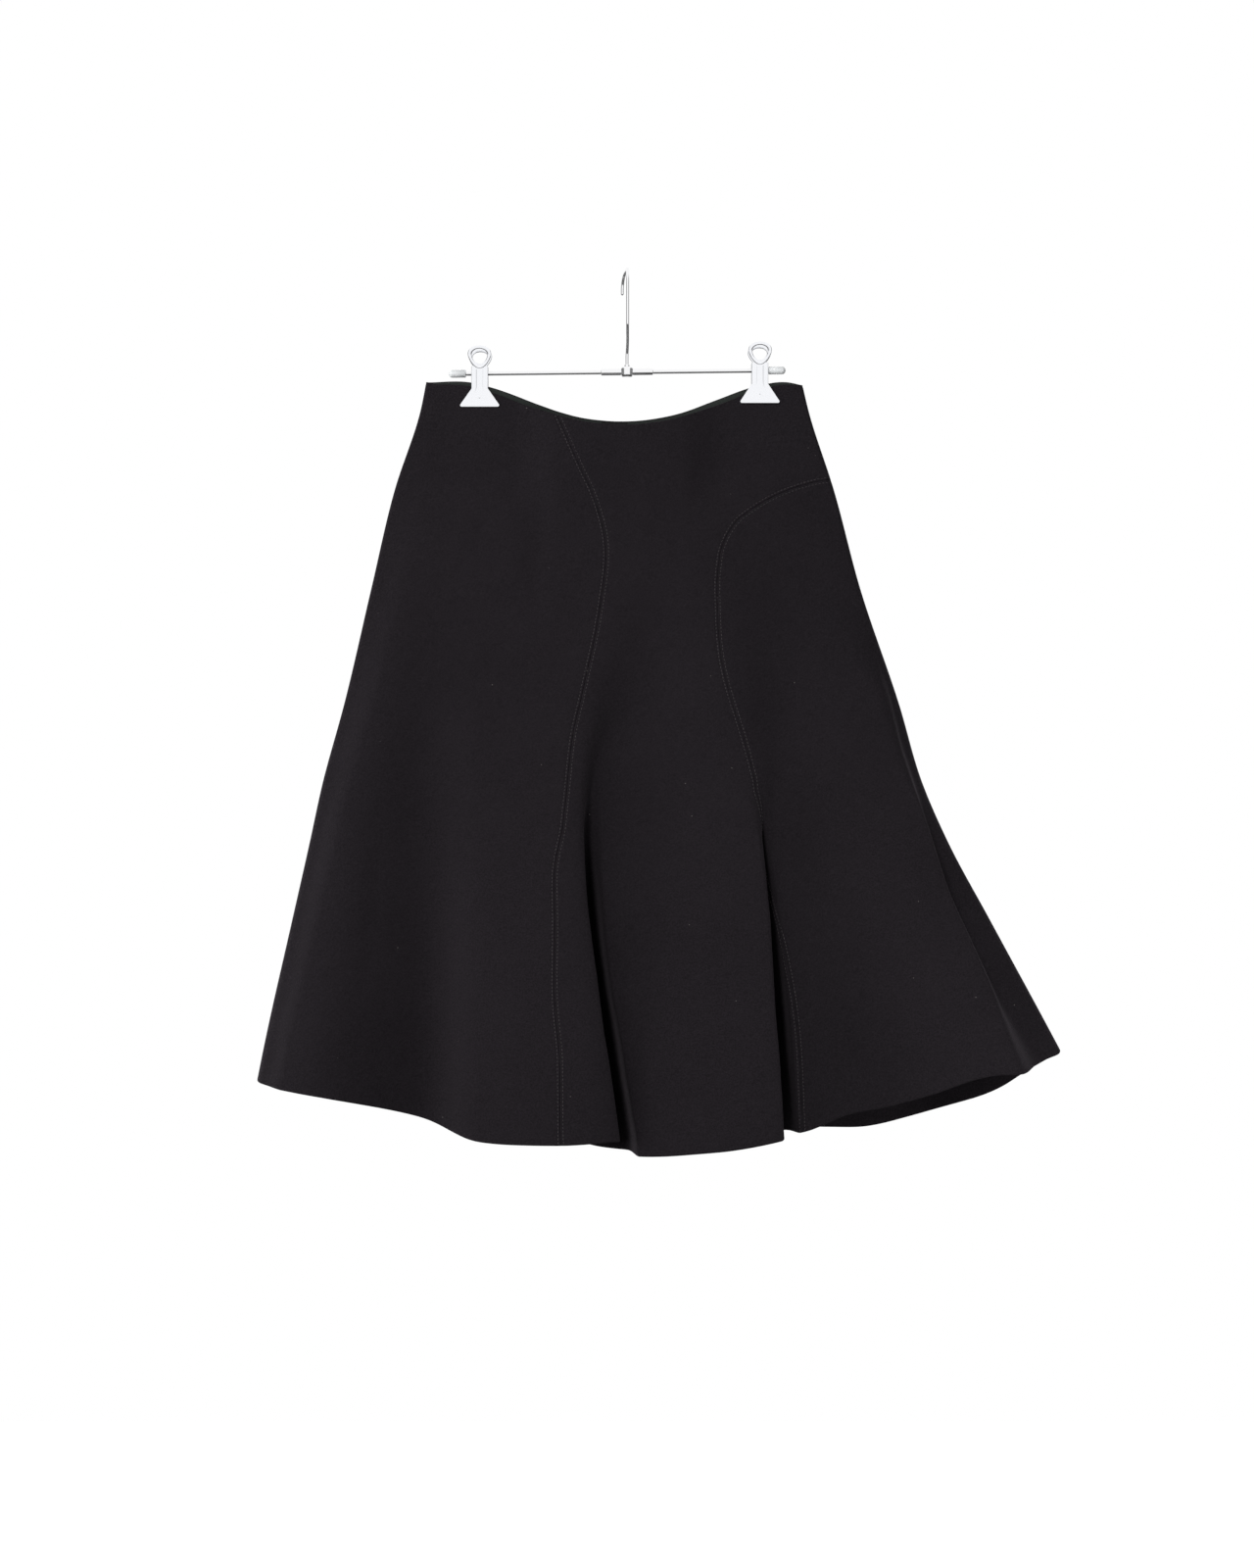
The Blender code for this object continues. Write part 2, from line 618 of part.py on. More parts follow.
def make_back(wool, lining, tape):
    """The two back panels, the waist facing inside them and the zip's tape behind their seam."""
    levels = np.array(BACK_LEVELS)
    half_gap = GAP / 2 / girth(-cloth(BACK, 0.5, levels)[:, 2])
    middle = line_at(0.5, levels)
    left_end, right_start = middle.copy(), middle.copy()
    left_end[:, 0] -= half_gap
    right_start[:, 0] += half_gap
    outer_side, inner_side = line_at(SIDE_INSET, levels), line_at(1 - SIDE_INSET, levels)
    columns = stations((0.05, 3), (1.0, 12))
    layer("back_left_panel", BACK, outer_side, left_end, columns, WALL, 0, wool)
    layer("back_right_panel", BACK, right_start, inner_side, 1 - columns[::-1], WALL, 0, wool)
    panel_columns = np.concatenate([columns / 2, 1 - columns[::-1] / 2])
    half_tape = TAPE_WIDTH / 2 / girth(0.15)
    spans = {
        "back_left_facing": (FACING_STARTS, 0.5 - half_tape - SIDE_INSET * 2),
        "back_right_facing": (0.5 + half_tape + SIDE_INSET * 2, 1 - FACING_STARTS),
    }
    for name, (start, end) in spans.items():
        shared = panel_columns[(panel_columns > start) & (panel_columns < end)]
        columns = (np.concatenate([[start], shared, [end]]) - start) / (end - start)
        start, end = line_at(start, FACING_ROWS), line_at(end, FACING_ROWS)
        layer(name, BACK, start, end, columns, FACING_WALL, FACING_INSET, lining)
    rows = np.linspace(FACING_ROWS[0], TAPE_ENDS, TAPE_ROWS)
    inset = WALL / 2 + GAP + TAPE_WALL / 2
    start, end = line_at(0.5 - half_tape, rows), line_at(0.5 + half_tape, rows)
    layer("zip_tape", BACK, start, end, stations((1.0, 2)), TAPE_WALL, inset, tape)


def turned(name, profile, finish, ring=False):
    """A profile of (radius, height) pairs turned about Z. A ring's is closed and clear of the axis."""
    angles = np.arange(TURNED_SIDES) * 2 * math.pi / TURNED_SIDES
    points, rows = [], []
    for radius, height in profile:
        if radius == 0:
            rows.append([len(points)] * TURNED_SIDES)
            points.append((0, 0, height))
        else:
            rows.append(list(range(len(points), len(points) + TURNED_SIDES)))
            points += [(radius * math.cos(a), radius * math.sin(a), height) for a in angles]
    faces = []
    pairs = list(zip(rows, rows[1:])) + ([(rows[-1], rows[0])] if ring else [])
    for low, high in pairs:
        for i in range(TURNED_SIDES):
            j = (i + 1) % TURNED_SIDES
            faces.append(list(dict.fromkeys([low[i], low[j], high[j], high[i]])))
    return place(name, points, faces, finish)


def rod(name, radius, half, finish):
    """A solid round rod along Z, centred on the origin."""
    return turned(name, [(0, -half), (radius, -half), (radius, half), (0, half)], finish)


def block(name, size, finish):
    """A box centred on the origin."""
    x, y, z = (side / 2 for side in size)
    points = [(i * x, j * y, k * z) for i in (-1, 1) for j in (-1, 1) for k in (-1, 1)]
    faces = [(0, 1, 3, 2), (4, 6, 7, 5), (0, 4, 5, 1), (2, 3, 7, 6), (0, 2, 6, 4), (1, 5, 7, 3)]
    return place(name, points, faces, finish)


def prism(name, outline, half_width, finish):
    """An outline of (y, z) pairs, drawn out along X to both sides."""
    count = len(outline)
    points = [(side * half_width, y, z) for side in (-1, 1) for y, z in outline]
    faces = [list(range(count)), list(range(count, 2 * count))]
    faces += [[i, (i + 1) % count, (i + 1) % count + count, i + count] for i in range(count)]
    return place(name, points, faces, finish)


def holed_plate(name, outer, inner, middle, thickness, finish):
    """A plate between two loops of (x, z) pairs with as many points, its middle at y = middle(z)."""
    count = len(outer)
    loops = []
    for loop in (outer, inner):
        loops += [[(x, middle(z) + face * thickness / 2, z) for x, z in loop] for face in (-1, 1)]
    faces = []
    for near, far in ((0, 2), (3, 1), (1, 0), (2, 3)):
        for i in range(count):
            j = (i + 1) % count
            faces.append([near * count + i, near * count + j, far * count + j, far * count + i])
    return place(name, [point for loop in loops for point in loop], faces, finish)


def shaped(item, tool, operation):
    """The item with a tool joined to it or cut from it, as one mesh, with the tool removed."""
    modifier = item.modifiers.new("shape", "BOOLEAN")
    modifier.operation = operation
    modifier.object = tool
    bpy.context.view_layer.update()
    graph = bpy.context.evaluated_depsgraph_get()
    mesh = bpy.data.meshes.new_from_object(item.evaluated_get(graph))
    item.modifiers.clear()
    item.data = mesh
    bpy.data.objects.remove(tool)
    return item


def on_bar(item, x):
    """Turns an item's Z to run along the bar, and places it at x."""
    item.location = (x, 0, x * math.tan(BAR_TILT) - BAR_DROP)
    item.rotation_euler = (0, math.pi / 2 - BAR_TILT, 0)
    return item


def make_bar(steel, plastic):
    """The bar, its two cup-shaped end caps and the sleeve with the hook's hub."""
    left, right = BAR_ENDS
    inner_left, inner_right = left + CAP_WALL + GAP, right - CAP_WALL - GAP
    bar = rod("hanger_bar", BAR_RADIUS, (inner_right - inner_left) / 2, steel)
    on_bar(bar, (inner_left + inner_right) / 2)
    dome = [(CAP_RADIUS * math.sin(a), CAP_WALL * (1 - math.cos(a))) for a in np.radians((30, 60))]
    cup = [(0, 0), *dome, (CAP_RADIUS, CAP_WALL), (CAP_RADIUS, CAP_LENGTH)]
    cup += [(BORE_RADIUS, CAP_LENGTH), (BORE_RADIUS, CAP_WALL), (0, CAP_WALL)]
    for name, x, way in (("bar_cap_left", left, 1), ("bar_cap_right", right, -1)):
        on_bar(turned(name, [(radius, way * height) for radius, height in cup], plastic), x)
    sleeve = on_bar(rod("hanger_sleeve", SLEEVE_RADIUS, SLEEVE_LENGTH / 2, steel), 0)
    hub = rod("hub", HUB_RADIUS, HUB_HEIGHT / 2, steel)
    hub.location = (0, 0, -BAR_DROP)
    bore = on_bar(rod("bore", BORE_RADIUS, SLEEVE_LENGTH, steel), 0)
    shaped(shaped(sleeve, hub, "UNION"), bore, "DIFFERENCE")


def hook_route():
    """The middle of the hook's wire: up from the hub, forward, over the crown and down behind."""
    radius = HOOK_INNER_RADIUS + HOOK_WIRE
    foot = HUB_HEIGHT / 2 + GAP - BAR_DROP
    rise = np.linspace(foot, -HOOK_STRAIGHT_DROP, 9)
    bend_foot = foot + HOOK_FOOT
    bend = smooth((rise - bend_foot) / (-HOOK_STRAIGHT_DROP - bend_foot))
    arc = np.linspace(math.pi, 0, 17)
    out = np.concatenate([-radius * bend, radius * np.cos(arc), [radius]])
    height = np.concatenate([rise, radius * np.sin(arc) - HOOK_INNER_RADIUS, [-HOOK_TIP_DROP]])
    yaw = HOOK_YAW_FRONT + (HOOK_YAW_BEHIND - HOOK_YAW_FRONT) * smooth((out / radius + 1) / 2)
    return np.stack([-out * np.sin(yaw), out * np.cos(yaw), height], axis=1)


def make_hook(steel):
    """The hook, a bent wire."""
    route = hook_route()
    curve = bpy.data.curves.new("hanger_hook", "CURVE")
    curve.dimensions = "3D"
    curve.bevel_depth = HOOK_WIRE
    curve.bevel_resolution = HOOK_BEVEL_STEPS
    curve.use_fill_caps = True
    spline = curve.splines.new("POLY")
    spline.points.add(len(route) - 1)
    for point, position in zip(spline.points, route):
        point.co = (*position, 1)
    curve.materials.append(steel)
    bpy.context.scene.collection.objects.link(bpy.data.objects.new("hanger_hook", curve))


def handle_loop(half_width, half_height, taper, centre):
    """A rounded triangle with its point down, as (x, z) pairs."""
    angles = np.arange(HANDLE_SIDES) * 2 * math.pi / HANDLE_SIDES
    x = half_width * np.sin(angles) * (1 + taper * np.cos(angles))
    return list(zip(x, centre + half_height * np.cos(angles)))


def make_leaf(name, clip, side, steel):
    """One leaf of a clip: the jaw and the neck in one strip, and the handle's ring."""

    def middle(z):
        above = z + clip.neck_top + LEAF_BEND_BELOW
        return side * (LEAF_OFF + LEAF_FLARE * float(smooth(above / LEAF_BEND_LENGTH)))

    rows = [(-clip.jaw_bottom + up, JAW_HALF_WIDTH - inset) for up, inset in JAW_CORNER]
    rows += [(-clip.jaw_top, NECK_HALF_WIDTH), (-clip.neck_top, NECK_HALF_WIDTH)]
    points, faces = [], [[0, 1, 2, 3], [4 * len(rows) - 4 + i for i in range(4)]]
    for z, half in rows:
        for x, face in ((-half, -1), (half, -1), (half, 1), (-half, 1)):
            points.append((x, middle(z) + face * LEAF_WALL / 2, z))
    for row in range(len(rows) - 1):
        for i in range(4):
            j = (i + 1) % 4
            faces.append([4 * row + i, 4 * row + j, 4 * row + 4 + j, 4 * row + 4 + i])
    leaf = place(name, points, faces, steel)
    centre = HANDLE_HALF_HEIGHT - clip.neck_top - HANDLE_OVERLAP
    outer = handle_loop(HANDLE_HALF_WIDTH, HANDLE_HALF_HEIGHT, HANDLE_TAPER, centre)
    hole = (HANDLE_HOLE_HALF_WIDTH, HANDLE_HOLE_HALF_HEIGHT, HANDLE_HOLE_TAPER)
    inner = handle_loop(*hole, centre + HANDLE_HOLE_RAISED)
    shaped(leaf, holed_plate("ring", outer, inner, middle, LEAF_WALL + RING_THICKER, steel), "UNION")
    leaf.location.x = clip.x


def make_clips(steel):
    """The two clips, each of two leaves and a spring rolled round the bar."""
    for clip in CLIPS:
        make_leaf(f"clip_{clip.name}_front_leaf", clip, FRONT, steel)
        make_leaf(f"clip_{clip.name}_back_leaf", clip, BACK, steel)
        rim = SPRING_HALF_WIDTH
        profile = [(SPRING_RADIUS, -rim), (SPRING_RADIUS, rim), (BORE_RADIUS, rim), (BORE_RADIUS, -rim)]
        on_bar(turned(f"clip_{clip.name}_spring", profile, steel, ring=True), clip.x)


def bridge_loop(far, high):
    """Half of the bridge's outline as (y, z) pairs, from its lower root over its top to its upper one."""
    root = -SLIDER_BASE[1] / 2
    shoulder, end = high * BRIDGE_SHOULDER, far * BRIDGE_SHOULDER
    return [(root, -far), (shoulder, -far), (high, -end), (high, end), (shoulder, far), (root, far)]


def make_zip_slider(steel):
    """The slider on the centre-back seam, and the pull that swings on its bridge."""
    down = SLIDER_BELOW_WAIST / (hem_drop(BACK, 0.5) - waist_drop(BACK, 0.5))
    x, y, z = cloth(BACK, np.array(0.5), np.array(down))
    out = y + SLIDER_OFF + SLIDER_BASE[1]
    slider = block("zip_slider", SLIDER_BASE, steel)
    slider.location = (x, out - SLIDER_BASE[1] / 2, z)
    outline = bridge_loop(BRIDGE_HALF_LENGTH, BRIDGE_HEIGHT)
    outline += bridge_loop(BRIDGE_HALF_LENGTH - BRIDGE_WALL, BRIDGE_HEIGHT - BRIDGE_WALL)[::-1]
    bridge = prism("bridge", outline, BRIDGE_WIDTH / 2, steel)
    bridge.location = (x, out, z)
    shaped(slider, bridge, "UNION")
    make_pull(steel).location = (x, out + PULL_AXIS_OUT, z)


def make_pull(steel):
    """A flat drop-shaped pull hanging from its origin, which is its hinge's axis."""
    angles = np.arange(PULL_SIDES) * 2 * math.pi / PULL_SIDES
    squared = np.sign(np.sin(angles)) * abs(np.sin(angles)) ** PULL_SQUARENESS
    spread = PULL_TOP_HALF_WIDTH + (PULL_HALF_WIDTH - PULL_TOP_HALF_WIDTH) * (1 - np.cos(angles)) / 2
    outer_z = PULL_BAR - PULL_LENGTH / 2 * (1 - np.cos(angles))
    hole_z = -PULL_BAR - (PULL_HOLE_LENGTH - PULL_BAR) / 2 * (1 - np.cos(angles))
    outer = list(zip(spread * squared, outer_z))
    hole = list(zip(PULL_HOLE_HALF_WIDTH * squared, hole_z))
    return holed_plate("zip_pull", outer, hole, lambda z: 0.0, PULL_WALL, steel)


def main():
    """Builds the skirt and its hanger."""
    for item in list(bpy.data.objects):
        bpy.data.objects.remove(item)
    wool = material("wool", (0.018, 0.016, 0.017), 0.92)
    lining = material("facing", (0.055, 0.058, 0.050), 0.70)
    tape = material("zip_tape", (0.012, 0.012, 0.012), 0.80)
    make_front(wool)
    make_back(wool, lining, tape)
    steel = material("steel", (0.78, 0.79, 0.80), 0.22, 1.0)
    plastic = material("bar_cap", (0.70, 0.72, 0.72), 0.35)
    make_zip_slider(steel)
    make_bar(steel, plastic)
    make_hook(steel)
    make_clips(steel)


main()
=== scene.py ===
"""The looks of an A-line skirt on a chrome clip hanger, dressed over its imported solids.

Lengths are metres in the solids' own frame: +Z is up, the skirt's front faces -Y, and the origin is the inner
crown of the hanger's hook, where a rail carries it. A "drop" is a distance below the origin.

All the cloth lies on one surface, SkirtForm.middle(side, across, down). `across` runs from 0 at the left side
seam to 1 at the right one, and `down` from 0 at the waist edge to 1 at the hem.
"""

from __future__ import annotations

import logging
import math
from dataclasses import dataclass
from enum import Enum
from typing import Iterable, Optional, Sequence

import bpy
import numpy as np
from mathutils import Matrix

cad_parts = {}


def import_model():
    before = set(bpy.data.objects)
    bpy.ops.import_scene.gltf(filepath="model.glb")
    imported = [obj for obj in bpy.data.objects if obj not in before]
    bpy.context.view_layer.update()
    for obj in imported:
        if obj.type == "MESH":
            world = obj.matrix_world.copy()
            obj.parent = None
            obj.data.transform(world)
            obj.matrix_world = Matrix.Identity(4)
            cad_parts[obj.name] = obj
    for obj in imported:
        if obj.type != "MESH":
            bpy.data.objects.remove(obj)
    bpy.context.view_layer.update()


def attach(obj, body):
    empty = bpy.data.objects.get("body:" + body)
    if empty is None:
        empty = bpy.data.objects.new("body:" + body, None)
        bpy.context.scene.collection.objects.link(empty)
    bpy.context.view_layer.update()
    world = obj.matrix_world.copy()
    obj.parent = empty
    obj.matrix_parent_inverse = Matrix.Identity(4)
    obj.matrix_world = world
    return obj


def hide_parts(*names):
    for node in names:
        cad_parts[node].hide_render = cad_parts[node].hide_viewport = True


LOG = logging.getLogger("skirt")
Array = np.ndarray
MM = 0.001
GAP = 0.3 * MM
SEWN_GAP = 0.04 * MM
BAR_DROP = 0.0973
BAR_TILT = math.radians(0.6)
ZIP_DROP = 0.15
SHARP_ANGLE = math.radians(50)
BODY = "skirt_and_hanger"
PULL_BODY = "pull"


class Side(Enum):
    """A half of the skirt, with the sign of its outward Y."""

    FRONT = -1
    BACK = 1


class EdgeKind(Enum):
    """How a panel's edge is sewn."""

    TOPSTITCHED = "topstitched"
    PLAIN = "plain"


@dataclass(frozen=True)
class Section:
    """A level of the skirt: its side edges, the roundness of its side turns and its swell."""

    drop: float
    left: float
    right: float
    turn: float
    front: float
    back: float


@dataclass(frozen=True)
class Place:
    """A point on an edge or a seam."""

    drop: float
    x: float


@dataclass(frozen=True)
class Crest:
    """A level of a fold: where its crest is, how far it stands out, its flanks and its overhang."""

    drop: float
    x: float
    reach: float
    left_width: float
    right_width: float
    lean: float


@dataclass(frozen=True)
class Fold:
    """A large fold of one half of the skirt."""

    side: Side
    crests: tuple[Crest, ...]


@dataclass(frozen=True)
class Crease:
    """A small ridge, or a valley where its height is negative, from one (x, drop) to another."""

    side: Side
    start: tuple[float, float]
    end: tuple[float, float]
    height: float
    width: float
    bow: float = 0.0


@dataclass(frozen=True)
class Ripple:
    """A soft wave over the whole cloth: its height and its waves to the metre along x and along the drop."""

    height: float
    along_x: float
    along_drop: float
    phase: float


@dataclass(frozen=True)
class ClipPlace:
    """A clip's place on the bar, and the drops of its parts."""

    name: str
    x: float
    jaw_bottom: float
    jaw_top: float
    neck_top: float


CLIPS = (
    ClipPlace("left", -0.1412, 0.1316, 0.1139, 0.0930),
    ClipPlace("right", 0.1274, 0.1280, 0.1094, 0.0893),
)


def rows_of(kind: type, *rows: tuple) -> tuple:
    """Returns a table: each row's values in the order of the fields of its kind."""
    return tuple(kind(*row) for row in rows)


def fold(side: Side, *crests: tuple) -> Fold:
    """Returns a large fold, from the rows of its crests."""
    return Fold(side, rows_of(Crest, *crests))


def smooth(value: Array) -> Array:
    """Returns 0 below 0, 1 above 1, and an even S between them."""
    value = np.clip(value, 0, 1)
    return value * value * (3 - 2 * value)


def through(keys: Array, values: Array, at: Array) -> Array:
    """Reads a smooth curve through the values, level past its ends.

    Args:
        keys: Rising places of the values.
        values: A value at each key.
        at: Where to read.

    Returns:
        The cubic that meets each value with the slope of its neighbours.
    """
    slopes = np.gradient(values, keys)
    i = np.clip(np.searchsorted(keys, at) - 1, 0, len(keys) - 2)
    step = keys[i + 1] - keys[i]
    u = np.clip((at - keys[i]) / step, 0, 1)
    start = values[i] * (1 + 2 * u) + slopes[i] * step * u
    end = values[i + 1] * (3 - 2 * u) - slopes[i + 1] * step * (1 - u)
    return start * (1 - u) ** 2 + end * u**2


def column(rows: Sequence[object], name: str, at: Array) -> Array:
    """Reads one named column of a table smoothly at the given drops."""
    keys = np.array([row.drop for row in rows])
    values = np.array([getattr(row, name) for row in rows])
    return through(keys, values, np.asarray(at, float))


def rounded(share: Array, least: float = 0.0) -> Array:
    """Returns a quarter circle's height, at a share of its radius in from its edge that is at least `least`."""
    return np.sqrt(1 - (1 - np.clip(share, least, 1)) ** 2)


def run_along(path: Array) -> Array:
    """Returns the length of a path from its start to each of its points."""
    return np.concatenate([[0], np.cumsum(np.linalg.norm(np.diff(path, axis=0), axis=1))])


def unit(vectors: Array) -> Array:
    """Returns the vectors at length 1."""
    return vectors / np.maximum(np.linalg.norm(vectors, axis=-1, keepdims=True), 1e-12)


@dataclass
class Shape:
    """A mesh in the making: points, four-sided and three-sided faces, and a flat place for each point."""

    points: Array
    quads: Array
    triangles: Array
    flat: Optional[Array] = None

    def faced_out(self) -> Shape:
        """Returns this closed shape with its faces turned out, found from the sign of its volume."""
        fans = np.concatenate([self.quads[:, [0, 1, 2]], self.quads[:, [0, 2, 3]], self.triangles])
        a, b, c = (self.points[fans[:, i]] for i in range(3))
        if (a * np.cross(b, c)).sum() < 0:
            return Shape(self.points, self.quads[:, ::-1], self.triangles[:, ::-1], self.flat)
        return self

    def moved(self, turn: Array, offset: Array) -> Shape:
        """Returns this shape turned by a 3 x 3 matrix, then moved by an offset."""
        return Shape(self.points @ np.asarray(turn).T + offset, self.quads, self.triangles, self.flat)

    def at(self, place: Array) -> Shape:
        """Returns this shape moved to a place."""
        return self.moved(np.eye(3), place)


NO_TRIANGLES = np.empty((0, 3), int)


def joined(shapes: Iterable[Shape]) -> Shape:
    """Returns one shape that holds all the given ones."""
    points, quads, triangles, count = [], [], [], 0
    for shape in shapes:
        points.append(shape.points)
        quads.append(shape.quads + count)
        triangles.append(shape.triangles + count)
        count += len(shape.points)
    return Shape(np.concatenate(points), np.concatenate(quads), np.concatenate(triangles))


def grid_quads(index: Array) -> Array:
    """Returns the four-sided faces between the neighbours of a grid of point numbers."""
    corners = [index[:-1, :-1], index[:-1, 1:], index[1:, 1:], index[1:, :-1]]
    return np.stack(corners, axis=-1).reshape(-1, 4)


def walled(outer: Array, inner: Array, flat: Array) -> Shape:
    """Closes two grids of points into a wall, with a rim round their edges.

    Args:
        outer: Rows and columns of points of the outer face.
        inner: The same grid of the inner face.
        flat: The flat place of each grid point, in metres.

    Returns:
        The closed wall, faced out.
    """
    index = np.arange(outer.shape[0] * outer.shape[1]).reshape(outer.shape[:2])
    rim = np.concatenate([index[0, :], index[1:, -1], index[-1, -2::-1], index[-2:0:-1, 0]])
    after = np.roll(rim, -1)
    front = grid_quads(index)
    back = front[:, ::-1] + index.size
    edge = np.stack([after, rim, rim + index.size, after + index.size], axis=1)
    points = np.concatenate([outer.reshape(-1, 3), inner.reshape(-1, 3)])
    places = np.concatenate([flat.reshape(-1, 2)] * 2)
    return Shape(points, np.concatenate([front, back, edge]), NO_TRIANGLES, places).faced_out()


def capped(rings: Array) -> Shape:
    """Closes rings of points into a tube, with a fan at each end.

    Args:
        rings: The rings, their points and their coordinates, in that order of axes.

    Returns:
        The closed tube, faced out.
    """
    count, sides = rings.shape[:2]
    index = np.arange(count * sides).reshape(count, sides)
    around = np.concatenate([index, index[:, :1]], axis=1)
    centres = np.stack([rings[0].mean(axis=0), rings[-1].mean(axis=0)])
    first = np.stack([around[0, 1:], around[0, :-1], np.full(sides, index.size)], axis=1)
    last = np.stack([around[-1, :-1], around[-1, 1:], np.full(sides, index.size + 1)], axis=1)
    points = np.concatenate([rings.reshape(-1, 3), centres])
    return Shape(points, grid_quads(around), np.concatenate([first, last])).faced_out()


def looped(rings: Array) -> Shape:
    """Closes rings of points both ways, as a band that ends where it begins."""
    count, sides = rings.shape[:2]
    index = np.arange(count * sides).reshape(count, sides)
    around = np.concatenate([index, index[:, :1]], axis=1)
    around = np.concatenate([around, around[:1]], axis=0)
    return Shape(rings.reshape(-1, 3), grid_quads(around), NO_TRIANGLES).faced_out()


def rounded_circle(sides: int, squareness: float = 1.0) -> tuple[Array, Array]:
    """Returns the cosine and sine of each way round, raised to the squareness with their signs kept."""
    angles = np.arange(sides) * 2 * math.pi / sides
    c, s = np.cos(angles), np.sin(angles)
    return np.sign(c) * abs(c) ** squareness, np.sign(s) * abs(s) ** squareness


def swept(path: Array, across: Array, half: Array, sides: int, squareness: float = 1.0) -> Shape:
    """Carries a rounded section along a path.

    Each ring is path + c * half_width * side + s * half_height * other, where c and s are the rounded cosine
    and sine of the way round, side is `across` made square to the path, and other is square to both.

    Args:
        path: The points of the path.
        across: A direction for the section's width, one for all or one for each point.
        half: Half widths and half heights of the section, as pairs along the path.
        sides: The number of points of a ring.
        squareness: 1 for an ellipse, and nearer 0 for a box.

    Returns:
        The closed tube.
    """
    along = unit(np.gradient(path, axis=0))
    side = np.broadcast_to(np.asarray(across, float), path.shape)
    side = unit(side - (side * along).sum(axis=1, keepdims=True) * along)
    other = np.cross(along, side)
    half = np.broadcast_to(np.asarray(half, float), (len(path), 2))
    c, s = rounded_circle(sides, squareness)
    wide = (half[:, :1] * c)[..., None] * side[:, None]
    high = (half[:, 1:] * s)[..., None] * other[:, None]
    return capped(path[:, None] + wide + high)


def turned(profile: Array, sides: int, ring: bool = False) -> Shape:
    """Turns a profile of (radius, height) pairs about Z. A ring's profile is closed and clear of the axis."""
    c, s = rounded_circle(sides)
    radius, height = np.asarray(profile, float).T
    level = np.broadcast_to(height[:, None], (len(radius), sides))
    rings = np.stack([radius[:, None] * c, radius[:, None] * s, level], axis=-1)
    return looped(rings) if ring else capped(rings)


def eased_rod(radius: float, half: float, ease: float, steps: int = 5) -> Array:
    """Returns the profile of a round rod along Z whose rims are rounded by `ease`."""
    angles = np.linspace(0, math.pi / 2, steps)
    rim = np.stack([radius - ease * (1 - np.sin(angles)), -half + ease * (1 - np.cos(angles))], axis=1)
    foot = np.array([[0.02 * radius, -half]])
    return np.concatenate([foot, rim, (rim * [1, -1])[::-1], foot * [1, -1]])


def band(outer: Array, inner: Array, middle: Array, half_wall: float, squareness: float) -> Shape:
    """A flat band between two loops in the X-Z plane, with rounded rims.

    A ring's section runs from one loop to the other as the rounded cosine of the way round, and stands off
    the middle along Y as its rounded sine times half the wall.

    Args:
        outer: The outer loop's (x, z) pairs.
        inner: The inner loop's, as many.
        middle: The band's middle Y at each pair.
        half_wall: Half the band's thickness.
        squareness: How square its section is.

    Returns:
        The closed band.
    """
    c, s = rounded_circle(16, squareness)
    centre, reach = (outer + inner) / 2, (outer - inner) / 2
    flat = centre[:, None] + reach[:, None] * c[:, None]
    y = middle[:, None] + half_wall * np.broadcast_to(s, flat.shape[:2])
    return looped(np.stack([flat[..., 0], y, flat[..., 1]], axis=-1))


def linked(name: str, data: bpy.types.ID) -> bpy.types.Object:
    """Returns a new object of the given data, linked to the scene."""
    item = bpy.data.objects.new(name, data)
    bpy.context.scene.collection.objects.link(item)
    return item


def piece(
    name: str, shape: Shape, finish: bpy.types.Material, node: Optional[str] = None, body: str = BODY
) -> bpy.types.Object:
    """Puts a shape into the scene as a piece.

    Args:
        name: The piece's name.
        shape: Its mesh.
        finish: Its material.
        node: The solid that it stands for, if any.
        body: The body that it rides on.

    Returns:
        The new object, at the origin, smooth apart from sharp bends.
    """
    mesh = bpy.data.meshes.new(name)
    mesh.from_pydata(shape.points.tolist(), [], shape.quads.tolist() + shape.triangles.tolist())
    if shape.flat is not None:
        corners = np.empty(len(mesh.loops), np.int32)
        mesh.loops.foreach_get("vertex_index", corners)
        layer = mesh.uv_layers.new(name="cloth")
        layer.data.foreach_set("uv", shape.flat[corners].astype(np.float32).ravel())
    mesh.materials.append(finish)
    item = linked(name, mesh)
    mesh.shade_smooth()
    mesh.set_sharp_from_angle(angle=SHARP_ANGLE)
    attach(item, body)
    if node:
        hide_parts(node)
    LOG.info("%s: %d points, %d faces", name, len(mesh.vertices), len(mesh.polygons))
    return item


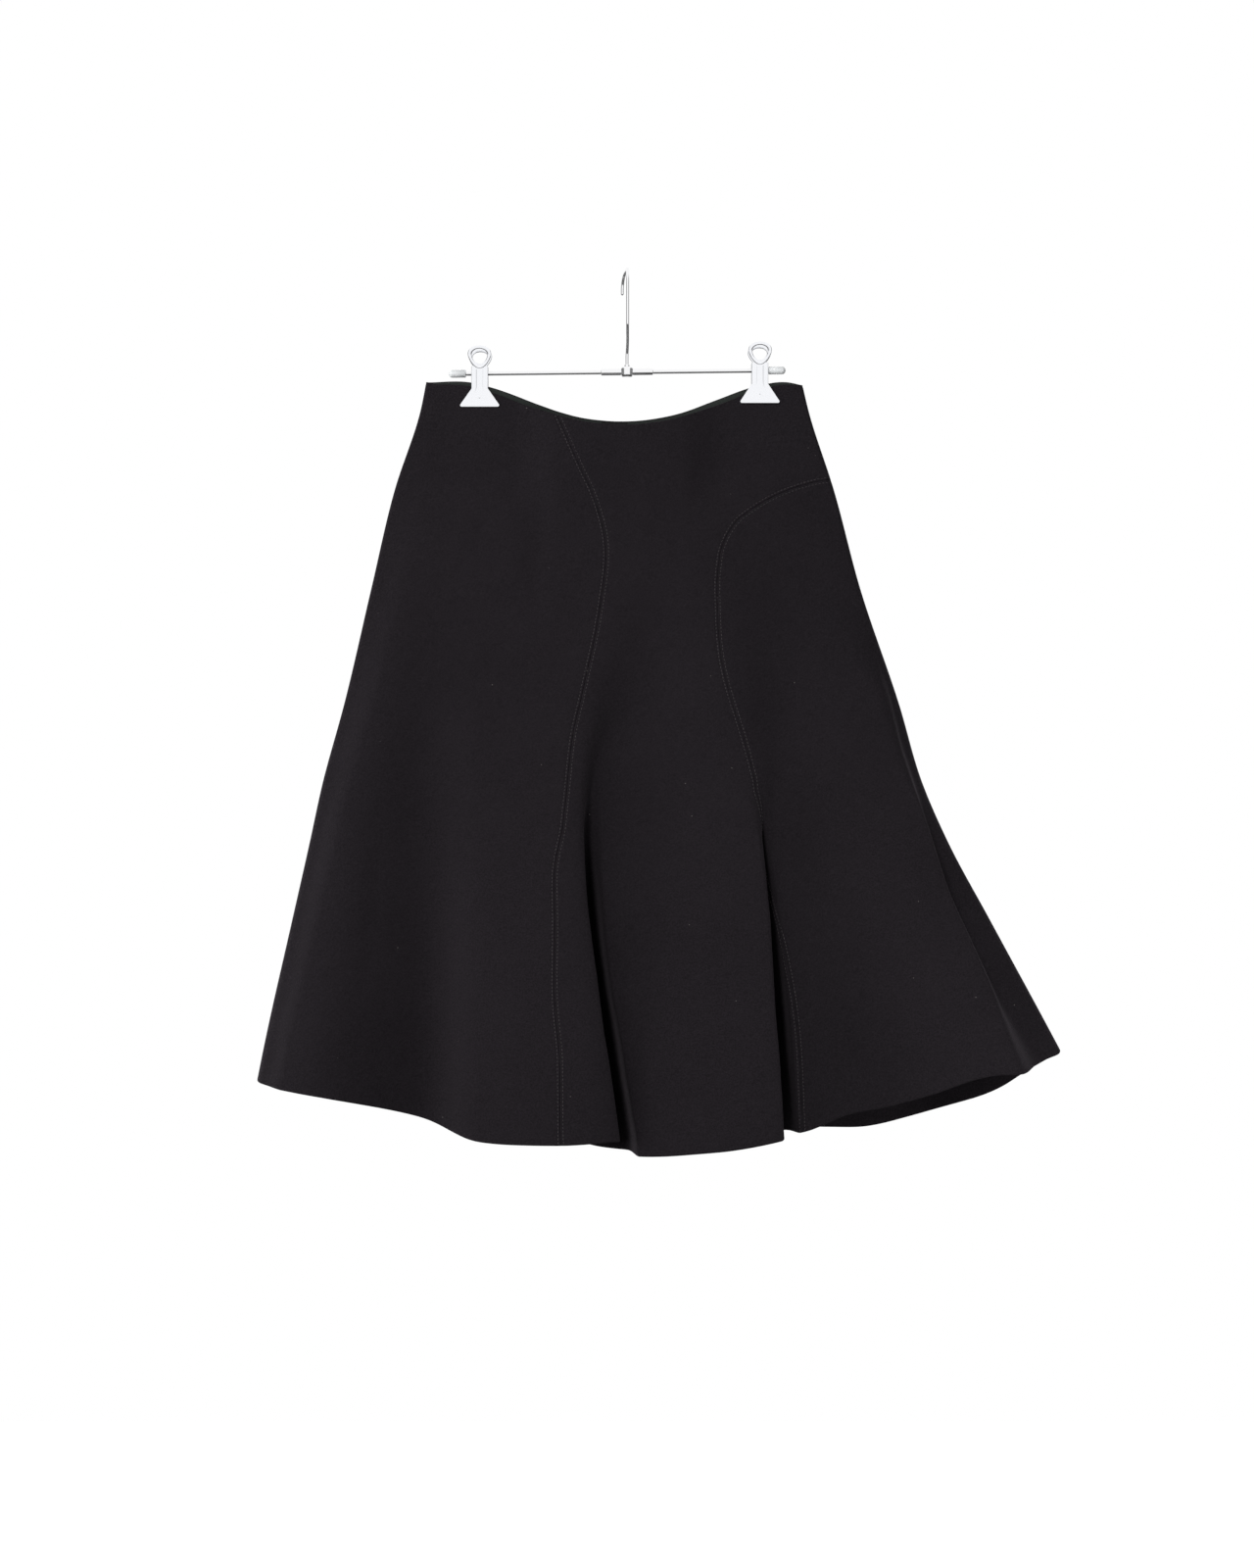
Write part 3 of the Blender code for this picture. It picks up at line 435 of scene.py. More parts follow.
@dataclass(frozen=True)
class SkirtForm:
    """The skirt's form: a flat tube with rounded sides, swollen, then folded, creased and rippled."""

    wall: float = 2.0 * MM
    front_lower_sides: float = 2.0 * MM
    front_lower_middle: float = 6.5 * MM
    folds_free_edge: float = 0.035
    pinch_half_width: float = 0.030
    pinch_depth: float = 0.040
    pinch_fade_across: float = 0.045
    pinch_fade_down: float = 0.080
    relief_free_edge: float = 0.025
    crease_ends: float = 0.3
    normal_step: float = 1e-4
    sections: tuple[Section, ...] = rows_of(
        Section,
        (0.100, -0.1905, 0.1652, 0.0019, 0.006, 0.008),
        (0.135, -0.1974, 0.1734, 0.0020, 0.007, 0.009),
        (0.210, -0.2218, 0.1974, 0.0030, 0.010, 0.012),
        (0.305, -0.2444, 0.2228, 0.0045, 0.012, 0.015),
        (0.417, -0.2707, 0.2604, 0.0055, 0.012, 0.018),
        (0.493, -0.2914, 0.2829, 0.0065, 0.010, 0.020),
        (0.549, -0.3036, 0.3074, 0.0070, 0.008, 0.022),
        (0.624, -0.3205, 0.3478, 0.0078, 0.006, 0.024),
        (0.737, -0.3459, 0.4089, 0.0088, 0.004, 0.026),
        (0.850, -0.3680, 0.4680, 0.0095, 0.003, 0.028),
    )
    waist: tuple[Place, ...] = rows_of(
        Place,
        (0.1069, -0.1915), (0.1070, -0.1500), (0.1119, -0.1300), (0.1275, -0.0850),
        (0.1399, -0.0400), (0.1427, 0.0030), (0.1379, 0.0400), (0.1240, 0.0850),
        (0.1112, 0.1220), (0.1070, 0.1560), (0.1098, 0.1660),
    )
    front_hem: tuple[Place, ...] = rows_of(
        Place,
        (0.7774, -0.3544), (0.7870, -0.2850), (0.8085, -0.1960), (0.8240, -0.1500),
        (0.8262, -0.1000), (0.8228, -0.0720), (0.8335, -0.0420), (0.8372, 0.0300),
        (0.8318, 0.0600), (0.8218, 0.0920), (0.8230, 0.1250), (0.8206, 0.1630),
        (0.8052, 0.2080), (0.7972, 0.2480), (0.7856, 0.2840), (0.7650, 0.3390),
        (0.7630, 0.3730), (0.7487, 0.4155),
    )
    back_hem: tuple[Place, ...] = rows_of(
        Place,
        (0.7774, -0.3544), (0.7920, -0.2850), (0.8150, -0.1500), (0.8230, 0.0000),
        (0.8276, 0.1960), (0.8277, 0.2340), (0.8202, 0.2740), (0.8078, 0.3140),
        (0.7857, 0.3640), (0.7730, 0.3820), (0.7487, 0.4155),
    )
    left_seam: tuple[Place, ...] = rows_of(
        Place,
        (0.1366, -0.0680), (0.1861, -0.0462), (0.2170, -0.0320), (0.2530, -0.0216),
        (0.2840, -0.0202), (0.3150, -0.0244), (0.3560, -0.0329), (0.4080, -0.0485),
        (0.4437, -0.0610), (0.4907, -0.0745), (0.5320, -0.0862), (0.5830, -0.0988),
        (0.6800, -0.1047), (0.7500, -0.1017), (0.8262, -0.0983),
    )
    right_seam: tuple[Place, ...] = rows_of(
        Place,
        (0.2012, 0.1952), (0.2035, 0.1805), (0.2096, 0.1598), (0.2180, 0.1400),
        (0.2303, 0.1194), (0.2435, 0.1034), (0.2632, 0.0921), (0.2839, 0.0874),
        (0.3149, 0.0860), (0.3769, 0.0898), (0.4493, 0.1064), (0.4850, 0.1120),
        (0.5160, 0.1145), (0.6280, 0.1435), (0.7170, 0.1595), (0.8206, 0.1652),
    )
    folds: tuple[Fold, ...] = (
        fold(
            Side.FRONT,
            (0.220, -0.195, 0.000, 0.050, 0.055, 0.0),
            (0.350, -0.228, 0.009, 0.050, 0.062, 0.0),
            (0.450, -0.247, 0.018, 0.055, 0.066, 0.0),
            (0.550, -0.260, 0.026, 0.060, 0.072, 0.0),
            (0.680, -0.276, 0.034, 0.065, 0.078, 0.0),
            (0.800, -0.290, 0.040, 0.070, 0.086, 0.0),
        ),
        fold(
            Side.FRONT,
            (0.330, -0.138, 0.000, 0.036, 0.060, 0.0),
            (0.440, -0.138, 0.010, 0.036, 0.065, 0.0),
            (0.540, -0.138, 0.020, 0.036, 0.065, 0.0),
            (0.660, -0.138, 0.030, 0.034, 0.070, 0.0),
            (0.820, -0.138, 0.042, 0.032, 0.075, 0.0),
        ),
        fold(
            Side.FRONT,
            (0.300, -0.022, 0.000, 0.045, 0.038, 0.3),
            (0.380, -0.032, 0.005, 0.045, 0.034, 0.7),
            (0.450, -0.042, 0.011, 0.045, 0.025, 1.1),
            (0.535, -0.046, 0.023, 0.048, 0.022, 1.3),
            (0.600, -0.041, 0.033, 0.050, 0.022, 1.3),
            (0.680, -0.030, 0.042, 0.050, 0.022, 1.3),
            (0.823, -0.009, 0.050, 0.050, 0.022, 1.3),
        ),
        fold(
            Side.FRONT,
            (0.450, -0.023, 0.000, 0.012, 0.050, 0.0),
            (0.535, -0.023, 0.010, 0.011, 0.055, 0.0),
            (0.600, -0.021, 0.022, 0.008, 0.058, 0.0),
            (0.680, -0.013, 0.028, 0.007, 0.062, 0.0),
            (0.750, -0.001, 0.032, 0.006, 0.066, 0.0),
            (0.823, 0.011, 0.035, 0.006, 0.070, 0.0),
        ),
        fold(
            Side.FRONT,
            (0.450, 0.127, 0.000, 0.012, 0.036, 0.0),
            (0.535, 0.135, 0.010, 0.011, 0.040, 0.0),
            (0.600, 0.143, 0.020, 0.009, 0.044, 0.0),
            (0.680, 0.152, 0.026, 0.007, 0.050, 0.0),
            (0.830, 0.164, 0.028, 0.007, 0.055, 0.0),
        ),
        fold(
            Side.FRONT,
            (0.240, 0.084, 0.000, 0.050, 0.045, 0.0),
            (0.330, 0.090, 0.006, 0.050, 0.045, 0.0),
            (0.400, 0.100, 0.010, 0.055, 0.042, 0.1),
            (0.465, 0.110, 0.014, 0.062, 0.030, 0.4),
            (0.535, 0.121, 0.024, 0.067, 0.018, 0.8),
            (0.600, 0.129, 0.036, 0.073, 0.018, 0.9),
            (0.680, 0.134, 0.046, 0.074, 0.020, 0.9),
            (0.830, 0.143, 0.060, 0.075, 0.022, 0.9),
        ),
        fold(
            Side.FRONT,
            (0.300, 0.215, 0.000, 0.060, 0.008, 0.8),
            (0.354, 0.232, 0.006, 0.065, 0.008, 1.1),
            (0.482, 0.266, 0.018, 0.080, 0.010, 0.75),
            (0.577, 0.296, 0.029, 0.092, 0.011, 0.6),
            (0.679, 0.337, 0.040, 0.105, 0.015, 0.45),
            (0.760, 0.365, 0.048, 0.115, 0.024, 0.15),
        ),
        fold(
            Side.BACK,
            (0.350, -0.170, 0.000, 0.050, 0.050, 0.0),
            (0.600, -0.210, 0.014, 0.050, 0.050, 0.0),
            (0.820, -0.240, 0.024, 0.050, 0.050, 0.0),
        ),
        fold(
            Side.BACK,
            (0.450, -0.060, 0.000, 0.045, 0.040, 0.0),
            (0.650, -0.075, 0.012, 0.045, 0.040, 0.0),
            (0.820, -0.090, 0.022, 0.050, 0.040, 0.0),
        ),
        fold(
            Side.BACK,
            (0.350, 0.070, 0.000, 0.045, 0.060, 0.0),
            (0.600, 0.090, 0.018, 0.045, 0.060, 0.0),
            (0.820, 0.110, 0.032, 0.050, 0.050, 0.0),
        ),
        fold(
            Side.BACK,
            (0.400, 0.190, 0.000, 0.060, 0.050, 0.0),
            (0.620, 0.240, 0.014, 0.060, 0.050, 0.0),
            (0.800, 0.290, 0.024, 0.060, 0.050, 0.0),
        ),
    )
    ripples: tuple[Ripple, ...] = rows_of(
        Ripple,
        (0.30 * MM, 7.1, 4.3, 0.4),
        (0.24 * MM, -5.3, 9.7, 2.1),
        (0.16 * MM, 14.9, 3.1, 4.0),
        (0.10 * MM, -11.3, 17.7, 1.2),
        (0.06 * MM, 31.0, 22.0, 3.3),
    )
    creases: tuple[Crease, ...] = (
        Crease(Side.FRONT, (0.094, 0.135), (0.062, 0.235), -1.2 * MM, 11 * MM, 3 * MM),
        Crease(Side.FRONT, (-0.078, 0.200), (-0.086, 0.345), -1.6 * MM, 13 * MM, -4 * MM),
        Crease(Side.FRONT, (0.167, 0.610), (0.171, 0.800), -1.3 * MM, 3.5 * MM, 1 * MM),
        Crease(Side.FRONT, (-0.0935, 0.1445), (-0.0855, 0.1725), -0.45 * MM, 0.8 * MM),
        Crease(Side.FRONT, (-0.150, 0.150), (-0.162, 0.300), 0.9 * MM, 15 * MM, 4 * MM),
        Crease(Side.FRONT, (0.128, 0.150), (0.140, 0.205), 0.7 * MM, 12 * MM),
        Crease(Side.FRONT, (-0.215, 0.340), (-0.120, 0.405), -0.8 * MM, 16 * MM, 9 * MM),
        Crease(Side.FRONT, (0.000, 0.330), (0.060, 0.420), -0.7 * MM, 17 * MM, -7 * MM),
        Crease(Side.FRONT, (0.130, 0.290), (0.225, 0.400), -0.8 * MM, 14 * MM, -8 * MM),
        Crease(Side.FRONT, (0.300, 0.560), (0.345, 0.690), -0.9 * MM, 9 * MM, -3 * MM),
        Crease(Side.FRONT, (-0.235, 0.520), (-0.250, 0.700), -0.8 * MM, 9 * MM, 3 * MM),
        Crease(Side.FRONT, (0.060, 0.600), (0.085, 0.760), 0.8 * MM, 12 * MM, 4 * MM),
        Crease(Side.BACK, (-0.072, 0.135), (-0.080, 0.245), -0.5 * MM, 0.9 * MM),
        Crease(Side.BACK, (0.062, 0.140), (0.072, 0.248), -0.5 * MM, 0.9 * MM),
        Crease(Side.BACK, (-0.140, 0.180), (-0.120, 0.330), -1.0 * MM, 14 * MM, 5 * MM),
        Crease(Side.BACK, (0.120, 0.190), (0.150, 0.360), 1.0 * MM, 15 * MM, -6 * MM),
        Crease(Side.BACK, (-0.230, 0.470), (-0.205, 0.680), -1.1 * MM, 10 * MM, -4 * MM),
        Crease(Side.BACK, (0.020, 0.560), (0.035, 0.780), -1.0 * MM, 11 * MM, 3 * MM),
        Crease(Side.BACK, (0.260, 0.520), (0.310, 0.710), 1.2 * MM, 12 * MM, 4 * MM),
    )

    def girth(self, drop: Array) -> Array:
        """Returns the length of either half from side seam to side seam, round both side turns."""
        turn = column(self.sections, "turn", drop)
        wide = column(self.sections, "right", drop) - column(self.sections, "left", drop)
        return wide + turn * (math.pi - 2)

    def across_of(self, x: Array, drop: Array) -> Array:
        """Returns the `across` of a place that is clear of the side turns, before any fold leans."""
        turn = column(self.sections, "turn", drop)
        return (x - column(self.sections, "left", drop) + turn * (math.pi / 2 - 1)) / self.girth(drop)

    def edge_drop(self, rows: Sequence[Place], across: Array) -> Array:
        """Returns the drop of an edge, the smooth curve through its places, with its ends on the side seams."""
        drop = np.array([row.drop for row in rows])
        places = self.across_of(np.array([row.x for row in rows]), drop)
        places[[0, -1]] = 0, 1
        return through(places, drop, across)

    def waist_drop(self, side: Side, across: Array) -> Array:
        """Returns the drop of the waist edge, which is lower at the front, most of all in the middle."""
        less = self.front_lower_sides - self.front_lower_middle
        lower = self.front_lower_middle + less * abs(2 * across - 1) ** 3
        return self.edge_drop(self.waist, across) + lower * (side is Side.FRONT)

    def hem_drop(self, side: Side, across: Array) -> Array:
        """Returns the drop of the hem's edge."""
        return self.edge_drop(self.front_hem if side is Side.FRONT else self.back_hem, across)

    def height(self, side: Side, across: Array) -> Array:
        """Returns the drop from the waist edge to the hem's."""
        return self.hem_drop(side, across) - self.waist_drop(side, across)

    def opened(self, x: Array, below: Array) -> Array:
        """Returns how free the cloth is: 0 between a clip's leaves and 1 well away from them."""
        beside = np.ones_like(x)
        for clip in CLIPS:
            beside = beside * smooth((abs(x - clip.x) - self.pinch_half_width) / self.pinch_fade_across)
        return 1 - (1 - beside) * (1 - smooth((below - self.pinch_depth) / self.pinch_fade_down))

    def plain(self, side: Side, across: Array, down: Array) -> Array:
        """Returns points of the plain cloth, before its creases and ripples.

        The tube is flat with a quarter circle at each side. The swell is a blunt arch across it. Each fold
        adds its reach times a bell curve of the distance from its crest, which is wider on one flank than on
        the other, and leans over sideways by its lean times that reach, as a narrower bell.

        Args:
            side: The half of the skirt.
            across: 0 at the left side seam to 1 at the right one.
            down: 0 at the waist edge to 1 at the hem.

        Returns:
            A point for each pair.
        """
        across, down = np.broadcast_arrays(np.asarray(across, float), np.asarray(down, float))
        top = self.waist_drop(side, across)
        drop = top + down * (self.hem_drop(side, across) - top)
        left, right, turn = (column(self.sections, name, drop) for name in ("left", "right", "turn"))
        from_left = across * self.girth(drop)
        from_right = self.girth(drop) - from_left
        to_edge = np.minimum(from_left, from_right)
        angle = np.minimum(to_edge / turn, math.pi / 2)
        inward = turn * (1 - np.cos(angle)) + np.maximum(to_edge - turn * math.pi / 2, 0)
        x = np.where(from_left < from_right, left + inward, right - inward)
        swell = column(self.sections, side.name.lower(), drop)
        out = turn * np.sin(angle) + swell * (1 - abs(2 * across - 1) ** 2.5) * self.opened(x, drop - top)
        free = smooth(to_edge / self.folds_free_edge)
        shift = np.zeros_like(x)
        for one in self.folds:
            if one.side is not side:
                continue
            crest, reach, left_width, right_width, lean = (
                column(one.crests, name, drop) for name in ("x", "reach", "left_width", "right_width", "lean")
            )
            reach = reach * free
            away = x - (crest - lean * reach)
            out = out + reach * np.exp(-((away / np.where(away < 0, left_width, right_width)) ** 2))
            shift = shift + lean * reach * np.exp(-((away / (right_width * np.where(away < 0, 1.5, 1))) ** 2))
        return np.stack([x + shift, side.value * out, -drop], axis=-1)

    def outward(self, side: Side, across: Array, down: Array) -> Array:
        """Returns the plain cloth's unit normals, away from the inside of the skirt."""
        step = self.normal_step
        wide = self.plain(side, np.clip(across + step, 0, 1), down)
        wide = wide - self.plain(side, np.clip(across - step, 0, 1), down)
        tall = self.plain(side, across, np.clip(down + step, 0, 1))
        tall = tall - self.plain(side, across, np.clip(down - step, 0, 1))
        return unit(side.value * np.cross(wide, tall))

    def relief(self, side: Side, points: Array) -> Array:
        """Returns how far the creases and ripples lift the cloth.

        A ripple is a sine of x and drop. A crease is its height times a bell curve of the distance from its
        line, which bows sideways as a parabola, and it eases to nothing at both ends.
        """
        x, drop = points[..., 0], -points[..., 2]
        lift = np.zeros_like(x)
        for ripple in self.ripples:
            wave = 2 * math.pi * (ripple.along_x * x + ripple.along_drop * drop) + ripple.phase * side.value
            lift = lift + ripple.height * np.sin(wave)
        for crease in self.creases:
            if crease.side is not side:
                continue
            (x0, drop0), (x1, drop1) = crease.start, crease.end
            length = math.hypot(x1 - x0, drop1 - drop0)
            way_x, way_drop = (x1 - x0) / length, (drop1 - drop0) / length
            run = ((x - x0) * way_x + (drop - drop0) * way_drop) / length
            away = (x - x0) * way_drop - (drop - drop0) * way_x - crease.bow * (1 - (2 * run - 1) ** 2)
            ends = smooth(run / self.crease_ends) * smooth((1 - run) / self.crease_ends)
            lift = lift + crease.height * ends * np.exp(-((away / crease.width) ** 2))
        return lift

    def middle(self, side: Side, across: Array, down: Array) -> tuple[Array, Array]:
        """Returns the points on the middle of the cloth, and its outward normals."""
        across, down = np.broadcast_arrays(np.asarray(across, float), np.asarray(down, float))
        points, out = self.plain(side, across, down), self.outward(side, across, down)
        below = down * self.height(side, across)
        edge = np.minimum(across, 1 - across) * self.girth(-points[..., 2])
        free = smooth(edge / self.relief_free_edge) * self.opened(points[..., 0], below)
        return points + out * (self.relief(side, points) * free)[..., None], out

    def along(self, side: Side, pairs: Array) -> tuple[Array, Array]:
        """Returns the middle of the cloth and its normals at pairs of across and down."""
        return self.middle(side, pairs[:, 0], pairs[:, 1])

    def seam_line(self, rows: Sequence[Place]) -> Array:
        """Returns close-set pairs of across and down along a front seam, from its top to the hem."""
        drop = np.array([row.drop for row in rows])
        x = np.array([row.x for row in rows])
        order = np.arange(len(rows))
        fine = np.linspace(0, len(rows) - 1, 40 * len(rows))
        x, drop = through(order, x, fine), through(order, drop, fine)
        across = np.clip(self.across_of(x, drop), 0, 1)
        down = (drop - self.waist_drop(Side.FRONT, across)) / self.height(Side.FRONT, across)
        return np.stack([across, down], axis=-1)

    def beside(self, pairs: Array, offset: float) -> Array:
        """Moves a front seam's pairs square to it: to the right, or down, where the offset is positive."""
        flat = self.plain(Side.FRONT, pairs[:, 0], pairs[:, 1])
        along = unit(np.gradient(flat[:, [0, 2]], axis=0))
        width = self.girth(-flat[:, 2])
        height = self.height(Side.FRONT, pairs[:, 0])
        return pairs + offset * np.stack([-along[:, 1] / width, -along[:, 0] / height], axis=-1)

    def spaced(self, side: Side, pairs: Array, spacing: float) -> Array:
        """Returns pairs along a line, evenly spaced by its true length."""
        path = self.along(side, pairs)[0]
        run = run_along(path)
        at = np.linspace(0, run[-1], max(2, round(run[-1] / spacing) + 1))
        return np.stack([np.interp(at, run, pairs[:, 0]), np.interp(at, run, pairs[:, 1])], axis=-1)


def upright(across: float, down: Array) -> Array:
    """Returns pairs at one `across`, for the given levels."""
    return np.stack([np.full_like(down, across), down], axis=-1)


def distance_to(points: Array, line: Array, block: int = 4000) -> Array:
    """Returns each point's distance to a line of straight legs, worked out in blocks of points."""
    start, leg = line[:-1], np.diff(line, axis=0)
    square = (leg * leg).sum(axis=1)
    flat = points.reshape(-1, 3)
    found = []
    for first in range(0, len(flat), block):
        away = flat[first : first + block, None] - start
        share = np.clip((away * leg).sum(axis=2) / square, 0, 1)
        found.append(np.linalg.norm(away - share[..., None] * leg, axis=2).min(axis=1))
    return np.concatenate(found).reshape(points.shape[:-1])


@dataclass(frozen=True)
class SeamStyle:
    """How the cloth falls beside a seam: its groove and its stitch line."""

    kind: EdgeKind
    groove_width: float
    groove_depth: float
    stitch_off: float = 2.4 * MM
    stitch_width: float = 0.55 * MM
    stitch_depth: float = 0.0

    def outside(self, away: Array) -> Array:
        """Returns how far the outer face rises beside the seam, against how far `away` it is.

        The groove's shoulder is a quarter of an ellipse, and the stitch line a bell-shaped dimple.
        """
        groove = self.groove_depth * (1 - rounded(away / self.groove_width))
        dimple = self.stitch_depth * np.exp(-(((away - self.stitch_off) / self.stitch_width) ** 2))
        return -groove - dimple


TOPSTITCHED = SeamStyle(EdgeKind.TOPSTITCHED, 1.3 * MM, 1.2 * MM, 2.4 * MM, 0.55 * MM, 0.28 * MM)
PLAIN_SEAM = SeamStyle(EdgeKind.PLAIN, 0.9 * MM, 0.8 * MM)


@dataclass(frozen=True)
class Edge:
    """A panel's left or right edge: its pairs of across and down, and the seam there."""

    pairs: Array
    style: SeamStyle
    line: Array


@dataclass(frozen=True)
class SkirtCloth:
    """The skirt's sewn pieces, cut on fine grids that follow the edges and close up over the sharp bends."""

    form: SkirtForm
    wool: bpy.types.Material
    lining: bpy.types.Material
    tape: bpy.types.Material
    thread: bpy.types.Material
    column_step: float = 3.4 * MM
    row_step: float = 5.0 * MM
    yoke_step: float = 3.6 * MM
    yoke_ends: float = 0.26
    bend_step: float = 0.16
    side_inset: float = 0.00004
    sewn_steps: tuple[float, ...] = (0.25, 0.6, 1.0, 1.5, 1.95, 2.4, 2.85, 3.4, 4.2, 5.2, 6.5, 8.5)
    plain_steps: tuple[float, ...] = (0.3, 0.7, 1.2, 2.0, 3.2)
    rim_steps: tuple[float, ...] = (0.0, 0.15, 0.4, 0.8, 1.3, 2.0, 3.2)
    hem_turn_wall: float = 1.2 * MM
    hem_turn_starts: float = 0.944
    hem_turn_ends: float = 0.949
    facing_wall: float = 0.8 * MM
    facing_inset: float = 1.9 * MM
    facing_rows: tuple[float, float] = (0.0015, 0.042)
    facing_starts: float = 0.02
    facing_gap: float = 0.0008
    tape_wall: float = 0.8 * MM
    tape_width: float = 24 * MM
    tape_ends: float = 0.30

    def rim_levels(self, side: Side, start: float, end: float, step: float) -> Array:
        """Returns levels from start to end at about the given spacing, closer together at the waist and hem."""
        height = float(self.form.height(side, np.array(0.5)))
        rim = np.array(self.rim_steps) * MM / height
        low, high = (rim[-1] if start == 0 else start), (1 - rim[-1] if end == 1 else end)
        inner = np.linspace(low, high, max(2, round((high - low) * height / step) + 1))
        turn = np.array([self.hem_turn_starts, self.hem_turn_ends]) if end == 1 else np.empty(0)
        first = rim[:-1] if start == 0 else np.empty(0)
        last = 1 - rim[-2::-1] if end == 1 else np.empty(0)
        return np.unique(np.concatenate([first, inner, turn, last]))

    def shares(self, side: Side, start: Array, end: Array, near: Array, far: Array) -> Array:
        """Returns the columns of each row, as shares of the way from its start to its end.

        Near each edge they stand at the given true distances. Between them they divide evenly the sum of the
        row's length over the column step and its bending over the bend step, so they close up over folds.

        Args:
            side: The half of the skirt.
            start: Pairs of across and down where the rows start.
            end: Pairs where they end.
            near: Rising distances of the edge columns at the start.
            far: Rising distances of the edge columns at the end.

        Returns:
            A row of rising shares for each row.
        """
        share = np.linspace(0, 1, 361)
        places = start[:, None] * (1 - share[:, None]) + end[:, None] * share[:, None]
        legs = np.diff(self.form.plain(side, places[..., 0], places[..., 1]), axis=1)
        length = np.linalg.norm(legs, axis=-1)
        load = length / self.column_step
        load[:, 1:] += np.linalg.norm(np.diff(unit(legs), axis=1), axis=-1) / self.bend_step
        run = np.concatenate([np.zeros((len(start), 1)), np.cumsum(length, axis=1)], axis=1)
        load = np.concatenate([np.zeros((len(start), 1)), np.cumsum(load, axis=1)], axis=1)
        count = math.ceil(load[:, -1].max()) + 1
        rows = []
        for i in range(len(start)):
            total = run[i, -1]
            scale = min(1.0, 0.35 * total / max(near[-1], far[-1]))
            low = np.interp(near * scale, run[i], share)
            high = np.interp(total - far[::-1] * scale, run[i], share)
            ends = np.interp([low[-1], high[0]], share, load[i])
            inner = np.interp(np.linspace(*ends, count)[1:-1], load[i], share)
            rows.append(np.concatenate([[0], low, inner, high, [1]]))
        return np.array(rows)

    def panel(
        self, name: str, node: str, side: Side, start: Edge, end: Edge
    ) -> None:
        """Args:
            name: The piece's name.
            node: The solid that it stands for.
            side: The half of the skirt.
            start: Its left edge.
            end: Its right edge.
        """
        steps = {EdgeKind.TOPSTITCHED: self.sewn_steps, EdgeKind.PLAIN: self.plain_steps}
        near, far = (np.array(steps[edge.style.kind]) * MM for edge in (start, end))
        shares = self.shares(side, start.pairs, end.pairs, near, far)[..., None]
        places = start.pairs[:, None] * (1 - shares) + end.pairs[:, None] * shares
        across, down = places[..., 0], places[..., 1]
        middle, out = self.form.middle(side, across, down)
        outer = np.full(across.shape, self.form.wall / 2)
        inner = outer + self.hem_turn_wall * smooth(
            (down - self.hem_turn_starts) / (self.hem_turn_ends - self.hem_turn_starts)
        )
        for edge in (start, end):
            outer = outer + edge.style.outside(distance_to(middle, edge.line))
        height = self.form.height(side, across)
        half, centre = (outer + inner) / 2, (outer - inner) / 2
        to_rim = np.minimum(down, 1 - down) * height
        thin = half * rounded(to_rim / half, 0.03)
        outer_face = middle + out * (centre + thin)[..., None]
        inner_face = middle + out * (centre - thin)[..., None]
        flat = self.flat_places(across, middle)
        item = piece(name, walled(outer_face, inner_face, flat), self.wool, node)
        self.declare(item, middle)

    def flat_places(self, across: Array, middle: Array) -> Array:
        """Returns where each point of the cloth lies when the cloth is flat, which its weave follows."""
        drop = -middle[..., 2]
        return np.stack([across * self.form.girth(drop), drop], axis=-1)

    def declare(self, item: bpy.types.Object, middle: Array) -> None:
        """Works out a hung sheet's flat size from the area, the widest row and the longest column of its
        middle, and logs it.
        """
        wide = np.linalg.norm(np.diff(middle, axis=1), axis=-1)
        tall = np.linalg.norm(np.diff(middle, axis=0), axis=-1)
        sides = np.cross(middle[1:, 1:] - middle[:-1, :-1], middle[1:, :-1] - middle[:-1, 1:])
        area = float(np.linalg.norm(sides, axis=-1).sum() / 2)
        width, length = float(wide.sum(axis=1).max()), float(tall.sum(axis=0).max())
        length = max(length, area / width)
        LOG.info("%s: flat %.3f x %.3f m, %.4f m2", item.name, width, length, area)

    def make_front(self) -> None:
        """Makes the three front panels, left, centre with its yoke, and right, and their topstitching."""
        form, side = self.form, Side.FRONT
        left_line, right_line = form.seam_line(form.left_seam), form.seam_line(form.right_seam)
        yoke = form.spaced(side, right_line[right_line[:, 1] < self.yoke_ends], self.yoke_step)
        low_levels = self.rim_levels(side, float(yoke[-1, 1]) + 0.007, 1, self.row_step)
        low = np.stack([np.interp(low_levels, right_line[:, 1], right_line[:, 0]), low_levels], axis=-1)
        right_seam = np.concatenate([yoke, low])
        top_levels = self.rim_levels(side, 0, float(yoke[0, 1]) - 0.006, self.row_step)
        yoke_levels = np.linspace(yoke[0, 1], yoke[-1, 1], len(yoke))
        levels = np.concatenate([top_levels, yoke_levels, low_levels])
        left_seam = np.stack([np.interp(levels, left_line[:, 1], left_line[:, 0]), levels], axis=-1)
        right_seam[0, 0] = 1 - self.side_inset
        lower_side = upright(1 - self.side_inset, np.concatenate([yoke_levels, low_levels]))
        lower_side[1] = form.beside(right_seam, SEWN_GAP / 2)[0]
        centre_right = np.concatenate(
            [upright(1 - self.side_inset, top_levels), form.beside(right_seam, -SEWN_GAP / 2)]
        )
        left_path, right_path = (
            form.along(side, form.spaced(side, line, 2.5 * MM))[0] for line in (left_line, right_line)
        )
        left_side, right_side = self.side_path(0), self.side_path(1)
        lines = (("left", left_line), ("right", right_line))
        stitching = [self.topstitch(f"stitching_{name}_seam", line) for name, line in lines]
        self.panel(
            "skirt_front_left",
            "front_left_panel",
            side,
            Edge(upright(self.side_inset, levels), PLAIN_SEAM, left_side),
            Edge(form.beside(left_seam, -SEWN_GAP / 2), TOPSTITCHED, left_path),
        )
